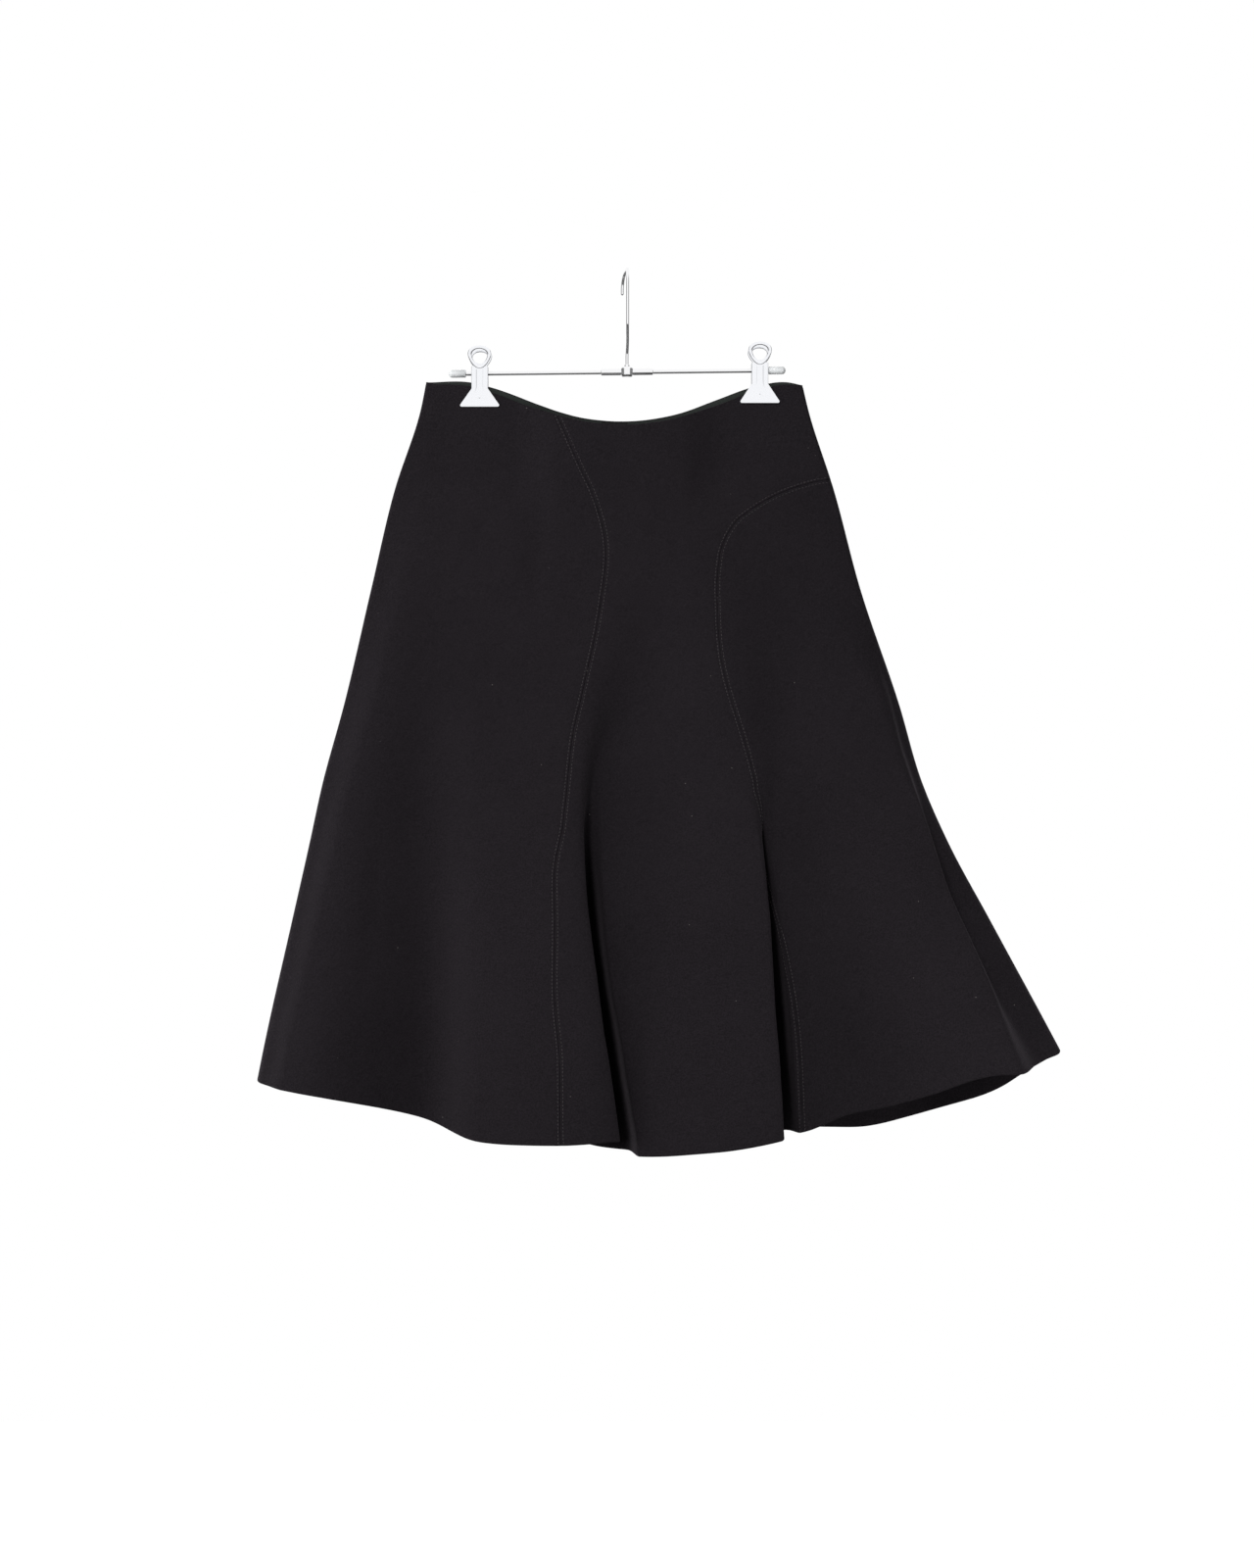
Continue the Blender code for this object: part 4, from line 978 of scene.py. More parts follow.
        self.panel(
            "skirt_front_centre",
            "front_centre_panel",
            side,
            Edge(form.beside(left_seam, SEWN_GAP / 2), TOPSTITCHED, left_path),
            Edge(centre_right, TOPSTITCHED, right_path),
        )
        self.panel(
            "skirt_front_right",
            "front_right_panel",
            side,
            Edge(form.beside(right_seam, SEWN_GAP / 2)[1:], TOPSTITCHED, right_path),
            Edge(lower_side[1:], PLAIN_SEAM, right_side),
        )

    def side_path(self, across: float) -> Array:
        """Returns the points of a side seam."""
        return self.form.plain(Side.FRONT, across, np.linspace(0, 1, 240))

    def make_back(self) -> None:
        """Makes the two back panels, the waist facing inside them and the zip's tape behind their seam."""
        form, side = self.form, Side.BACK
        levels = self.rim_levels(side, 0, 1, self.row_step)
        middle_line = upright(0.5, levels)
        half_gap = SEWN_GAP / 2 / form.girth(-form.plain(side, 0.5, levels)[:, 2])
        left_end, right_start = middle_line.copy(), middle_line.copy()
        left_end[:, 0] -= half_gap
        right_start[:, 0] += half_gap
        centre = form.along(side, middle_line)[0]
        self.panel(
            "skirt_back_left",
            "back_left_panel",
            side,
            Edge(upright(self.side_inset, levels), PLAIN_SEAM, self.side_path(0)),
            Edge(left_end, PLAIN_SEAM, centre),
        )
        self.panel(
            "skirt_back_right",
            "back_right_panel",
            side,
            Edge(right_start, PLAIN_SEAM, centre),
            Edge(upright(1 - self.side_inset, levels), PLAIN_SEAM, self.side_path(1)),
        )
        half_tape = self.tape_width / 2 / self.zip_girth()
        spans = (
            ("left", self.facing_starts, 0.5 - half_tape - self.facing_gap),
            ("right", 0.5 + half_tape + self.facing_gap, 1 - self.facing_starts),
        )
        for name, start, end in spans:
            rows = np.linspace(*self.facing_rows, 13)
            piece_name, node = f"waist_facing_{name}", f"back_{name}_facing"
            self.strip(piece_name, node, start, end, rows, self.facing_wall, self.facing_inset)
        rows = np.linspace(self.facing_rows[0], self.tape_ends, 60)
        inset = form.wall / 2 + GAP + self.tape_wall / 2
        sewn_on = [self.coil(rows, inset + self.tape_wall / 2)]
        ends = (0.5 - half_tape, 0.5 + half_tape)
        self.strip("zip_tape_band", "zip_tape", *ends, rows, self.tape_wall, inset, sewn_on)

    def zip_girth(self) -> float:
        """Returns the length of either half at the zip's upper end."""
        return float(self.form.girth(np.array(ZIP_DROP)))

    def strip(
        self,
        name: str,
        node: str,
        start: float,
        end: float,
        rows: Array,
        wall: float,
        inset: float,
        sewn_on: Sequence[bpy.types.Object] = (),
    ) -> None:
        """Args:
            name: The piece's name.
            node: The solid that it stands for.
            start: The `across` of its left edge.
            end: The `across` of its right edge.
            rows: Its levels.
            wall: Its thickness.
            inset: How far its middle lies inside the cloth's.
            sewn_on: The pieces that lie on it; not used.
        """
        count = max(9, round((end - start) * self.zip_girth() / (3 * MM)))
        columns = np.linspace(start, end, count)
        across, down = np.meshgrid(columns, rows)
        middle, out = self.form.middle(Side.BACK, across, down)
        middle = middle - out * inset
        rim = np.minimum(rows - rows[0], rows[-1] - rows) * float(self.form.height(Side.BACK, np.array(0.5)))
        half = wall / 2 * rounded(rim / (wall / 2), 0.2)[:, None, None]
        flat = self.flat_places(across, middle)
        facing = name.startswith("waist")
        finish, slot = (self.lining, "facing") if facing else (self.tape, "zip_tape")
        item = piece(name, walled(middle + out * half, middle - out * half, flat), finish, node)
        self.declare(item, middle)

    def coil(self, rows: Array, inset: float) -> bpy.types.Object:
        """Makes the zip's two rows of coil on the tape: tubes whose width swells once for each tooth."""
        pitch, radius, off = 1.3 * MM, 0.62 * MM, 0.75 * MM
        lines = []
        for way in (-1, 1):
            pairs = upright(0.5, np.linspace(rows[2], rows[-3], 400))
            pairs[:, 0] += way * off / self.zip_girth()
            pairs = self.form.spaced(Side.BACK, pairs, pitch / 4)
            middle, out = self.form.along(Side.BACK, pairs)
            swell = 0.72 + 0.28 * np.cos(np.arange(len(pairs)) * math.pi / 2 + way)
            half = np.stack([radius * swell, radius * (0.7 + 0.3 * swell)], axis=1)
            lines.append(swept(middle - out * (inset + radius + 0.1 * MM), (1, 0, 0), half, 8))
        return piece("zip_coil", joined(lines), self.tape)

    def topstitch(self, name: str, line: Array) -> bpy.types.Object:
        """Makes the two rows of stitches of a front seam, one on each side of it.

        A stitch is a capsule: five rings whose radius follows the square root of 1 - t squared, along the
        seam's own direction, half sunk in the cloth. Its length, height and slant vary a little by sines of
        its number.

        Args:
            name: The piece's name.
            line: The seam's pairs of across and down.

        Returns:
            The stitching, as one piece.
        """
        form, side = self.form, Side.FRONT
        pitch, length, radius, sides, other_row = 3.4 * MM, 2.1 * MM, 0.30 * MM, 6, 37
        share = np.array([-0.96, -0.72, 0.0, 0.72, 0.96])
        c, s = rounded_circle(sides)
        rows = []
        for way in (-1, 1):
            pairs = form.spaced(side, line, 1.0 * MM)
            centre = form.along(side, pairs)[0]
            offset = way * TOPSTITCHED.stitch_off
            beside = np.clip(form.beside(pairs, offset), 0, 1)
            found = np.linalg.norm(form.along(side, beside)[0] - centre, axis=1)
            beside = pairs + (beside - pairs) * (abs(offset) / np.maximum(found, abs(offset) / 2))[:, None]
            keep = (beside[:, 1] > 0.003) & (beside[:, 1] < 0.997) & (beside[:, 0] < 0.995)
            pairs = form.spaced(side, beside[keep], pitch)
            middle, out = form.along(side, pairs)
            number = np.arange(len(pairs)) + (way + 1) * other_row
            along = unit(np.gradient(middle, axis=0))
            across = np.cross(along, out)
            along = unit(along + 0.06 * np.sin(number * 2.4)[:, None] * across)
            lift = form.wall / 2 - TOPSTITCHED.stitch_depth + (0.10 + 0.04 * np.sin(number * 1.7)) * MM
            half = length / 2 * (1 + 0.07 * np.sin(number * 3.1))
            centre = middle + out * lift[:, None]
            size = radius * np.sqrt(1 - share**2 * 0.92)
            ring = size[:, None, None] * (c[:, None] * np.array([1, 0]) + s[:, None] * np.array([0, 1]))
            spots = (
                centre[:, None, None]
                + (half[:, None] * share)[:, :, None, None] * along[:, None, None]
                + ring[None, ..., :1] * across[:, None, None]
                + ring[None, ..., 1:] * out[:, None, None]
            )
            rows += [capped(rings) for rings in spots]
        return piece(name, joined(rows), self.thread)


@dataclass(frozen=True)
class Hanger:
    """The hanger: a bar with end caps, a sleeve with the hook's hub, the hook and two spring clips."""

    chrome: bpy.types.Material
    satin: bpy.types.Material
    plastic: bpy.types.Material
    bar_radius: float = 2.0 * MM
    bar_ends: tuple[float, float] = (-0.1711, 0.1523)
    cap_radius: float = 3.7 * MM
    cap_length: float = 16.5 * MM
    cap_wall: float = 2.0 * MM
    sleeve_radius: float = 3.1 * MM
    sleeve_length: float = 50 * MM
    hub_radius: float = 6.2 * MM
    hub_height: float = 10 * MM
    hook_wire: float = 1.5 * MM
    hook_inner_radius: float = 16 * MM
    hook_tip_drop: float = 20 * MM
    hook_straight_drop: float = 50 * MM
    hook_foot: float = 8 * MM
    hook_tip_least: float = 0.02
    hook_yaw: tuple[float, float] = (math.radians(2), math.radians(15))

    def on_bar(self, shape: Shape, x: float) -> Shape:
        """Turns a shape's Z to run along the bar, and places it at x."""
        angle = math.pi / 2 - BAR_TILT
        c, s = math.cos(angle), math.sin(angle)
        turn = np.array([[c, 0, s], [0, 1, 0], [-s, 0, c]])
        return shape.moved(turn, np.array([x, 0, x * math.tan(BAR_TILT) - BAR_DROP]))

    def make_bar(self) -> None:
        """Makes the bar, its two end caps and the sleeve with the hook's hub."""
        left, right = self.bar_ends
        low, high = left + self.cap_wall + GAP, right - self.cap_wall - GAP
        rod = turned(eased_rod(self.bar_radius, (high - low) / 2, 0.4 * MM), 48)
        piece("hanger_rail_bar", self.on_bar(rod, (low + high) / 2), self.chrome, "hanger_bar")
        for name, x, way in (("left", left, 1), ("right", right, -1)):
            cap = self.on_bar(self.cap(way), x)
            piece(f"bar_end_{name}", cap, self.plastic, f"bar_cap_{name}")
        bore = self.bar_radius + GAP
        half, ease = self.sleeve_length / 2, 0.5 * MM
        outer = [(self.sleeve_radius - ease, -half), (self.sleeve_radius, -half + ease)]
        outer += [(self.sleeve_radius, half - ease), (self.sleeve_radius - ease, half)]
        sleeve = self.on_bar(turned(outer + [(bore, half), (bore, -half)], 40, ring=True), 0)
        hub = turned(eased_rod(self.hub_radius, self.hub_height / 2, 2.6 * MM, 8), 40)
        collar = turned(eased_rod(2.6 * MM, 2.0 * MM, 0.7 * MM), 28)
        centre = np.array([0, 0, -BAR_DROP])
        lift = np.array([0, 0, self.hub_height / 2])
        whole = joined([sleeve, hub.at(centre), collar.at(centre + lift)])
        piece("hanger_sleeve_and_hub", whole, self.chrome, "hanger_sleeve")

    def cap(self, way: int) -> Shape:
        """Returns a cup-shaped end cap with its closed end at the origin and its mouth `way` along Z."""
        angles = np.linspace(0.06, math.pi / 2, 9)
        dome_height = self.cap_radius * 0.9 * (1 - np.cos(angles))
        dome = np.stack([self.cap_radius * np.sin(angles), dome_height], axis=1)
        lip, bore = 0.5 * MM, self.bar_radius + GAP
        wall = [
            (self.cap_radius, self.cap_length - lip),
            (self.cap_radius - lip, self.cap_length),
            (bore, self.cap_length),
            (bore, self.cap_wall),
            (0.05 * MM, self.cap_wall),
        ]
        profile = np.concatenate([dome, np.array(wall)]) * [1, way]
        return turned(profile, 32)

    def hook_route(self) -> Array:
        """Returns the middle of the hook's wire: up from the hub, forward, over the crown and down behind."""
        radius = self.hook_inner_radius + self.hook_wire
        foot = self.hub_height / 2 + GAP - BAR_DROP
        rise = np.linspace(foot, -self.hook_straight_drop, 40)
        bend_foot = foot + self.hook_foot
        bend = smooth((rise - bend_foot) / (-self.hook_straight_drop - bend_foot))
        straight = np.linspace(-self.hook_straight_drop, -self.hook_inner_radius, 12)[1:-1]
        arc = np.linspace(math.pi, 0, 49)
        tip = np.linspace(-self.hook_inner_radius, -self.hook_tip_drop, 6)[1:]
        front_run, back_run = np.full_like(straight, -radius), np.full_like(tip, radius)
        out = np.concatenate([-radius * bend, front_run, radius * np.cos(arc), back_run])
        height = np.concatenate([rise, straight, radius * np.sin(arc) - self.hook_inner_radius, tip])
        front, behind = self.hook_yaw
        yaw = front + (behind - front) * smooth((out / radius + 1) / 2)
        return np.stack([-out * np.sin(yaw), out * np.cos(yaw), height], axis=1)

    def make_hook(self) -> None:
        """Makes the hook as a round wire with a rounded tip."""
        route = self.hook_route()
        run = run_along(route)
        tip = run[-1] - self.hook_wire * np.array([0.8, 0.55, 0.3, 0.12, 0.0])
        at = np.sort(np.concatenate([run[:-1], tip]))
        route = np.stack([np.interp(at, run, route[:, i]) for i in range(3)], axis=1)
        left = np.clip((run[-1] - at) / self.hook_wire, self.hook_tip_least, 1)
        radius = self.hook_wire * rounded(left)
        yaw = sum(self.hook_yaw) / 2
        level = np.array([math.cos(yaw), math.sin(yaw), 0])
        shape = swept(route, level, np.stack([radius, radius], axis=1), 24)
        piece("hanger_hook_wire", shape, self.chrome, "hanger_hook")

    def make_clips(self) -> None:
        """Makes the two clips, each of two leaves and a coiled spring round the bar."""
        for place in CLIPS:
            clip = ClipShape(place)
            for side, name in ((Side.FRONT, "front"), (Side.BACK, "back")):
                own = f"clip_{place.name}_{name}"
                piece(own, clip.leaf(side), self.satin, f"{own}_leaf")
            spring = self.on_bar(clip.spring(), place.x)
            piece(f"clip_{place.name}_coil", spring, self.chrome, f"clip_{place.name}_spring")


@dataclass(frozen=True)
class ClipShape:
    """A clip pressed from sheet: each leaf has a flared jaw, a channelled neck and a ring for the fingers."""

    place: ClipPlace
    wall: float = 1.2 * MM
    off: float = 3.8 * MM
    flare: float = 5.5 * MM
    bend_below: float = 4 * MM
    bend_length: float = 30 * MM
    jaw_half: float = 19 * MM
    corner: float = 2.2 * MM
    neck_half: float = 8.0 * MM
    handle_half_width: float = 10.7 * MM
    handle_half_height: float = 10.8 * MM
    hole_half_width: float = 7.2 * MM
    rim: float = 4.0 * MM
    taper: tuple[float, float] = (0.34, 0.20)
    overlap: float = 2.0 * MM
    hole_raised: float = 0.8 * MM
    channel_half: float = 3.1 * MM
    channel_spread: float = 8.6 * MM
    channel_rise: float = 0.5 * MM
    lip_height: float = 2.7 * MM
    channel_soft: float = 1.0 * MM
    channel_top: float = 3 * MM
    groove_depth: float = 0.45 * MM
    groove_width: float = 0.45 * MM
    lip_rise: float = 0.35 * MM
    lip_soft: float = 0.8 * MM
    dimple_depth: float = 0.45 * MM
    dimple_up: float = 8.0 * MM
    dimple_width: float = 1.1 * MM
    ear_apart: float = 7.45 * MM
    ear_sunk: float = 1.0 * MM
    ear_half_height: float = 3.3 * MM
    ear_half_wall: float = 0.4 * MM
    ring_half_wall: float = 0.95 * MM

    def middle(self, z: Array) -> Array:
        """Returns how far the leaf's middle stands off the bar's plane: level at the jaw, flared above."""
        above = z + self.place.neck_top + self.bend_below
        return self.off + self.flare * smooth(above / self.bend_length)

    def half_width(self, z: Array) -> Array:
        """Returns the blade's half width: rounded corners, straight slanted jaw sides, then the neck."""
        up = z + self.place.jaw_bottom
        tall = self.place.jaw_bottom - self.place.jaw_top
        share = np.clip((up - self.corner) / (tall - self.corner), 0, 1)
        slant = self.jaw_half + (self.neck_half - self.jaw_half) * share
        round_off = self.corner * (1 - rounded(up / self.corner))
        return slant - 0.8 * round_off

    def pressing(self, x: Array, z: Array) -> Array:
        """Returns how far the sheet is pressed out.

        The neck's channel is a flat band with soft sides. Below the neck it spreads as an inverted V whose
        legs fade out, and a level groove marks off the rounded lip along the jaw's bottom.
        """
        up = z + self.place.jaw_bottom
        tall = self.place.jaw_bottom - self.place.jaw_top
        into = np.clip((tall + 1.0 * MM - up) / (tall - 5.5 * MM), 0, 1.2)
        half = self.channel_half + (self.channel_spread - self.channel_half) * into**1.3
        fade = 1 - smooth((into - 0.75) / 0.35)
        top = 1 - smooth((z + self.place.neck_top + self.channel_top) / self.channel_top)
        channel = self.channel_rise * smooth((half - abs(x)) / self.channel_soft + 0.5) * fade * top
        groove = self.groove_depth * np.exp(-(((up - self.lip_height) / self.groove_width) ** 2))
        lip = self.lip_rise * (1 - smooth((up - self.lip_height) / self.lip_soft))
        from_dimple = x**2 + (up - self.dimple_up) ** 2
        dimple = self.dimple_depth * np.exp(-(from_dimple / self.dimple_width**2))
        return channel - groove + lip - dimple

    def leaf(self, side: Side) -> Shape:
        """Returns a leaf: its blade, its ring and the two ears that hold it to the spring's pin.

        The blade is a stadium-shaped section carried up Z: two flat faces joined by half-round rims.

        Args:
            side: The side of the bar that the leaf stands on.

        Returns:
            The leaf's closed parts as one shape.
        """
        place, half_wall = self.place, self.wall / 2
        tall = place.jaw_bottom - place.neck_top + 0.6 * MM
        rise = np.concatenate([[0.02, 0.1, 0.22, 0.4, 0.6], np.arange(0.9, tall / MM, 0.45)]) * MM
        z = rise - place.jaw_bottom
        thin = half_wall * rounded(rise / half_wall, 0.05)
        flat_share = np.linspace(-1, 1, 41)
        turn = np.linspace(-math.pi / 2, math.pi / 2, 9)[1:-1]
        share = np.concatenate([flat_share, np.ones(7), flat_share[::-1], -np.ones(7)])
        bulge = np.concatenate([np.zeros(41), np.cos(turn), np.zeros(41), -np.cos(turn)])
        face = np.concatenate([-np.ones(41), np.sin(turn), np.ones(41), -np.sin(turn)])
        x = (self.half_width(z) - half_wall)[:, None] * share + half_wall * bulge
        level = np.broadcast_to(z[:, None], x.shape)
        out = self.middle(level) + thin[:, None] * face + self.pressing(x, level)
        blade = capped(np.stack([x, side.value * out, level], axis=-1))
        ring = self.ring(side)
        ears = [self.ear(side, way) for way in (-1, 1)]
        return joined([blade, ring, *ears]).at(np.array([place.x, 0, 0]))

    def ring(self, side: Side) -> Shape:
        """Returns the finger ring: a rounded band between two rounded triangles with their points down."""
        angles = np.arange(72) * 2 * math.pi / 72
        centre = self.handle_half_height - self.place.neck_top - self.overlap
        loops = []
        sizes = ((self.handle_half_width, self.handle_half_height, 0.0, self.taper[0]),)
        sizes += ((self.hole_half_width, self.handle_half_height - self.rim, self.hole_raised, self.taper[1]),)
        for half_width, half_height, raised, taper in sizes:
            wide = half_width * np.sin(angles) * (1 + taper * np.cos(angles))
            high = centre + raised + half_height * np.cos(angles)
            loops.append(np.stack([wide, high], axis=1))
        outer, inner = loops
        middle = side.value * self.middle((outer[:, 1] + inner[:, 1]) / 2)
        return band(outer, inner, middle, self.ring_half_wall, 0.8)

    def ear(self, side: Side, way: int) -> Shape:
        """Returns a flat tab that runs from the leaf to the spring's pin, with a rounded end."""
        reach = np.linspace(0.05, 1, 9)
        along = self.off * np.concatenate([reach, [1.12]])
        apart, level = np.full(10, way * self.ear_apart), np.full(10, -BAR_DROP)
        path = np.stack([apart, side.value * (along - self.ear_sunk), level], axis=1)
        path[:, 2] += self.place.x * math.tan(BAR_TILT)
        tall = self.ear_half_height * rounded(np.linspace(0.12, 1.9, 10))
        return swept(path, (1, 0, 0), np.stack([np.full(10, self.ear_half_wall), tall], axis=1), 16, 0.4)

    def spring(self) -> Shape:
        """Returns the coiled wire round the bar: a helix of close turns along Z."""
        wire, coil, half = 0.42 * MM, 2.45 * MM, 6.3 * MM
        turns = 11
        angle = np.linspace(0, 2 * math.pi * turns, turns * 20)
        radial = np.stack([np.cos(angle), np.sin(angle), np.zeros_like(angle)], axis=1)
        path = coil * radial
        path[:, 2] = np.linspace(-half, half, len(angle))
        return swept(path, radial, (wire, wire), 8)


@dataclass(frozen=True)
class ZipEnd:
    """The zip's slider on the centre-back seam, and the pull that hangs from its bridge."""

    form: SkirtForm
    metal: bpy.types.Material
    below_waist: float = 16 * MM
    base: tuple[float, float, float] = (5.6 * MM, 1.6 * MM, 10 * MM)
    bridge_half_length: float = 3.15 * MM
    bridge_height: float = 2.95 * MM
    axis_out: float = 1.2 * MM
    pull_wall: float = 1.0 * MM
    pull_length: float = 23 * MM
    pull_bar: float = 0.6 * MM
    pull_hole: tuple[float, float] = (1.4 * MM, 2.2 * MM)
    bridge_half: tuple[float, float] = (0.9 * MM, 0.45 * MM)

    def make(self) -> None:
        """Makes the slider and its pull."""
        side = Side.BACK
        down = self.below_waist / float(self.form.height(side, np.array(0.5)))
        x, y, z = self.form.plain(side, np.array(0.5), np.array(down))
        out = y + self.form.wall / 2 + 3 * GAP + self.base[1]
        spot = np.array([x, out, z])
        wide, deep, tall = self.base
        share = np.linspace(-1, 1, 21)
        path = np.stack([np.zeros(21), np.full(21, -deep / 2), share * tall / 2], axis=1)
        waist = 1 - 0.16 * (1 - abs(share)) - 0.3 * abs(share) ** 12
        thick = np.sqrt(1 - 0.75 * abs(share) ** 10)
        half = np.stack([wide / 2 * waist, deep / 2 * thick], axis=1)
        body = swept(path, (1, 0, 0), half, 28, 0.45)
        arch = np.linspace(0, math.pi, 19)
        route = np.stack(
            [
                np.zeros(19),
                -deep / 2 + (self.bridge_height + deep / 2) * np.sin(arch) ** 0.55,
                self.bridge_half_length * np.cos(arch),
            ],
            axis=1,
        )
        bridge = swept(route, (1, 0, 0), self.bridge_half, 16, 0.6)
        slider = joined([body, bridge]).at(spot)
        piece("zip_slider_body", slider, self.metal, "zip_slider")
        pull = self.pull().at(spot + [0, self.axis_out, 0])
        piece("zip_pull_tab", pull, self.metal, "zip_pull", PULL_BODY)

    def pull(self) -> Shape:
        """Returns a flat drop-shaped tab with a hole at its top, hanging from the origin."""
        angles = np.arange(72) * 2 * math.pi / 72
        squared = np.sign(np.sin(angles)) * abs(np.sin(angles)) ** 0.5
        spread = (2.5 + 0.9 * (1 - np.cos(angles)) / 2) * MM
        outer_z = self.pull_bar - self.pull_length / 2 * (1 - np.cos(angles))
        hole_half_width, hole_half_length = self.pull_hole
        hole_z = -self.pull_bar - hole_half_length * (1 - np.cos(angles))
        outer = np.stack([spread * squared, outer_z], axis=1)
        hole = np.stack([hole_half_width * squared, hole_z], axis=1)
        return band(outer, hole, np.zeros(72), self.pull_wall / 2, 0.55)


class Nodes:
    """A short way to add and join a node tree's nodes."""

    def __init__(self, tree: bpy.types.NodeTree) -> None:
        """Keeps the tree."""
        self.tree = tree

    def add(self, kind: str, settings: Optional[dict] = None, **inputs: object) -> bpy.types.Node:
        """Adds a node.

        Args:
            kind: The node's type, without its ShaderNode prefix.
            settings: Its own settings.
            **inputs: Values or sockets for its inputs, by name with _ for a space, or by number as _0, _1.

        Returns:
            The node.
        """
        node = self.tree.nodes.new("ShaderNode" + kind)
        for name, value in (settings or {}).items():
            setattr(node, name, value)
        for name, value in inputs.items():
            socket = node.inputs[int(name[1:])] if name[0] == "_" else node.inputs[name.replace("_", " ")]
            if isinstance(value, bpy.types.NodeSocket):
                self.tree.links.new(value, socket)
            else:
                socket.default_value = value
        return node

    def join(self, socket: bpy.types.NodeSocket, shader: bpy.types.Node, name: str) -> None:
        """Leads a socket to a shader's named input."""
        self.tree.links.new(socket, shader.inputs[name])

    def group(self, tree: bpy.types.NodeTree, place: object, **values: float) -> bpy.types.NodeOutputs:
        """Returns the results of a node group, read at a place."""
        return self.add("Group", {"node_tree": tree}, Vector=place, **values).outputs

    def math(self, operation: str, a: object, b: object = 0.0) -> bpy.types.NodeSocket:
        """Returns the result of a Math node."""
        return self.add("Math", {"operation": operation}, _0=a, _1=b).outputs[0]

    def noise(self, vector: bpy.types.NodeSocket, scale: object, detail: float = 2.0) -> bpy.types.NodeSocket:
        """Returns a Noise texture's value."""
        return self.add("TexNoise", None, Vector=vector, Scale=scale, Detail=detail).outputs["Fac"]

    def spread(
        self, value: object, low: float, high: float, to_low: object, to_high: object
    ) -> bpy.types.NodeSocket:
        """Returns a value mapped from one range to another, and held within it."""
        inputs = {"_0": value, "_1": low, "_2": high, "_3": to_low, "_4": to_high}
        return self.add("MapRange", None, **inputs).outputs[0]

    def blend(self, factor: object, a: object, b: object) -> bpy.types.NodeSocket:
        """Returns two colours mixed."""
        node = self.add("Mix", {"data_type": "RGBA"}, Factor=factor, _6=a, _7=b)
        return node.outputs[2]


def new_group(
    name: str, inputs: dict[str, float], outputs: Sequence[str]
) -> tuple[bpy.types.NodeTree, Nodes, dict]:
    """Starts a shader node group.

    Args:
        name: The group's name.
        inputs: Its number inputs and their usual values. It takes a Vector as well.
        outputs: Its number outputs.

    Returns:
        The group, a hand for its nodes, and its input sockets by name.
    """
    group = bpy.data.node_groups.new(name, "ShaderNodeTree")
    group.interface.new_socket(name="Vector", in_out="INPUT", socket_type="NodeSocketVector")
    for key, value in inputs.items():
        socket = group.interface.new_socket(name=key, in_out="INPUT", socket_type="NodeSocketFloat")
        socket.default_value = value
    for key in outputs:
        group.interface.new_socket(name=key, in_out="OUTPUT", socket_type="NodeSocketFloat")
    entry = group.nodes.new("NodeGroupInput")
    group.nodes.new("NodeGroupOutput")
    return group, Nodes(group), {socket.name: socket for socket in entry.outputs}


def end_group(group: bpy.types.NodeTree, **values: bpy.types.NodeSocket) -> None:
    """Joins a group's results to its outputs."""
    end = next(node for node in group.nodes if node.type == "GROUP_OUTPUT")
    for name, socket in values.items():
        group.links.new(socket, end.inputs[name])


class Effects:
    """The surface effects that several finishes share, each a node group that is built once."""

    def __init__(self) -> None:
        """Builds the groups."""
        self.woven = self.make_woven()
        self.mottled = self.make_mottled()
        self.handled = self.make_handled()

    @staticmethod
    def make_woven() -> bpy.types.NodeTree:
        """A weave: the product of a sine each way, with a slanted sine for the twill and noise for the fuzz."""
        group, nodes, given = new_group("woven", {"Threads": 1600.0, "Twill": 0.4, "Fuzz": 0.5}, ["Height"])
        split = nodes.add("SeparateXYZ", None, Vector=given["Vector"])
        u = nodes.math("MULTIPLY", split.outputs[0], given["Threads"])
        v = nodes.math("MULTIPLY", split.outputs[1], given["Threads"])
        warp, weft = nodes.math("SINE", u), nodes.math("SINE", v)
        plain = nodes.math("MULTIPLY", warp, weft)
        slant = nodes.math("SINE", nodes.math("MULTIPLY", nodes.math("ADD", u, v), 0.5))
        twill = nodes.math("MULTIPLY", slant, given["Twill"])
        fine = nodes.noise(given["Vector"], nodes.math("MULTIPLY", given["Threads"], 0.9), 3.0)
        fuzz = nodes.math("MULTIPLY", fine, given["Fuzz"])
        weave = nodes.math("MULTIPLY", nodes.math("ADD", plain, twill), 0.25)
        end_group(group, Height=nodes.math("ADD", weave, fuzz))
        return group

    @staticmethod
    def make_mottled() -> bpy.types.NodeTree:
        """Uneven dye and nap: a fine noise and a broad one, added and spread from 0 to 1."""
        group, nodes, given = new_group("mottled", {"Fine": 900.0, "Broad": 12.0, "Share": 0.5}, ["Mask"])
        fine = nodes.noise(given["Vector"], given["Fine"], 3.0)
        broad = nodes.noise(given["Vector"], given["Broad"], 2.0)
        both = nodes.add("Mix", {"data_type": "FLOAT"}, _0=given["Share"], _2=fine, _3=broad).outputs[0]
        end_group(group, Mask=nodes.spread(both, 0.32, 0.68, 0.0, 1.0))
        return group

    @staticmethod
    def make_handled() -> bpy.types.NodeTree:
        """Handling on a hard surface: a smeared noise for its roughness and a fine one for its height."""
        given_values = {"Scale": 60.0, "Low": 0.1, "High": 0.2}
        group, nodes, given = new_group("handled", given_values, ["Roughness", "Height"])
        smear = nodes.noise(given["Vector"], given["Scale"], 4.0)
        rough = nodes.spread(smear, 0.35, 0.7, given["Low"], given["High"])
        height = nodes.noise(given["Vector"], nodes.math("MULTIPLY", given["Scale"], 9.0))
        end_group(group, Roughness=rough, Height=height)
        return group


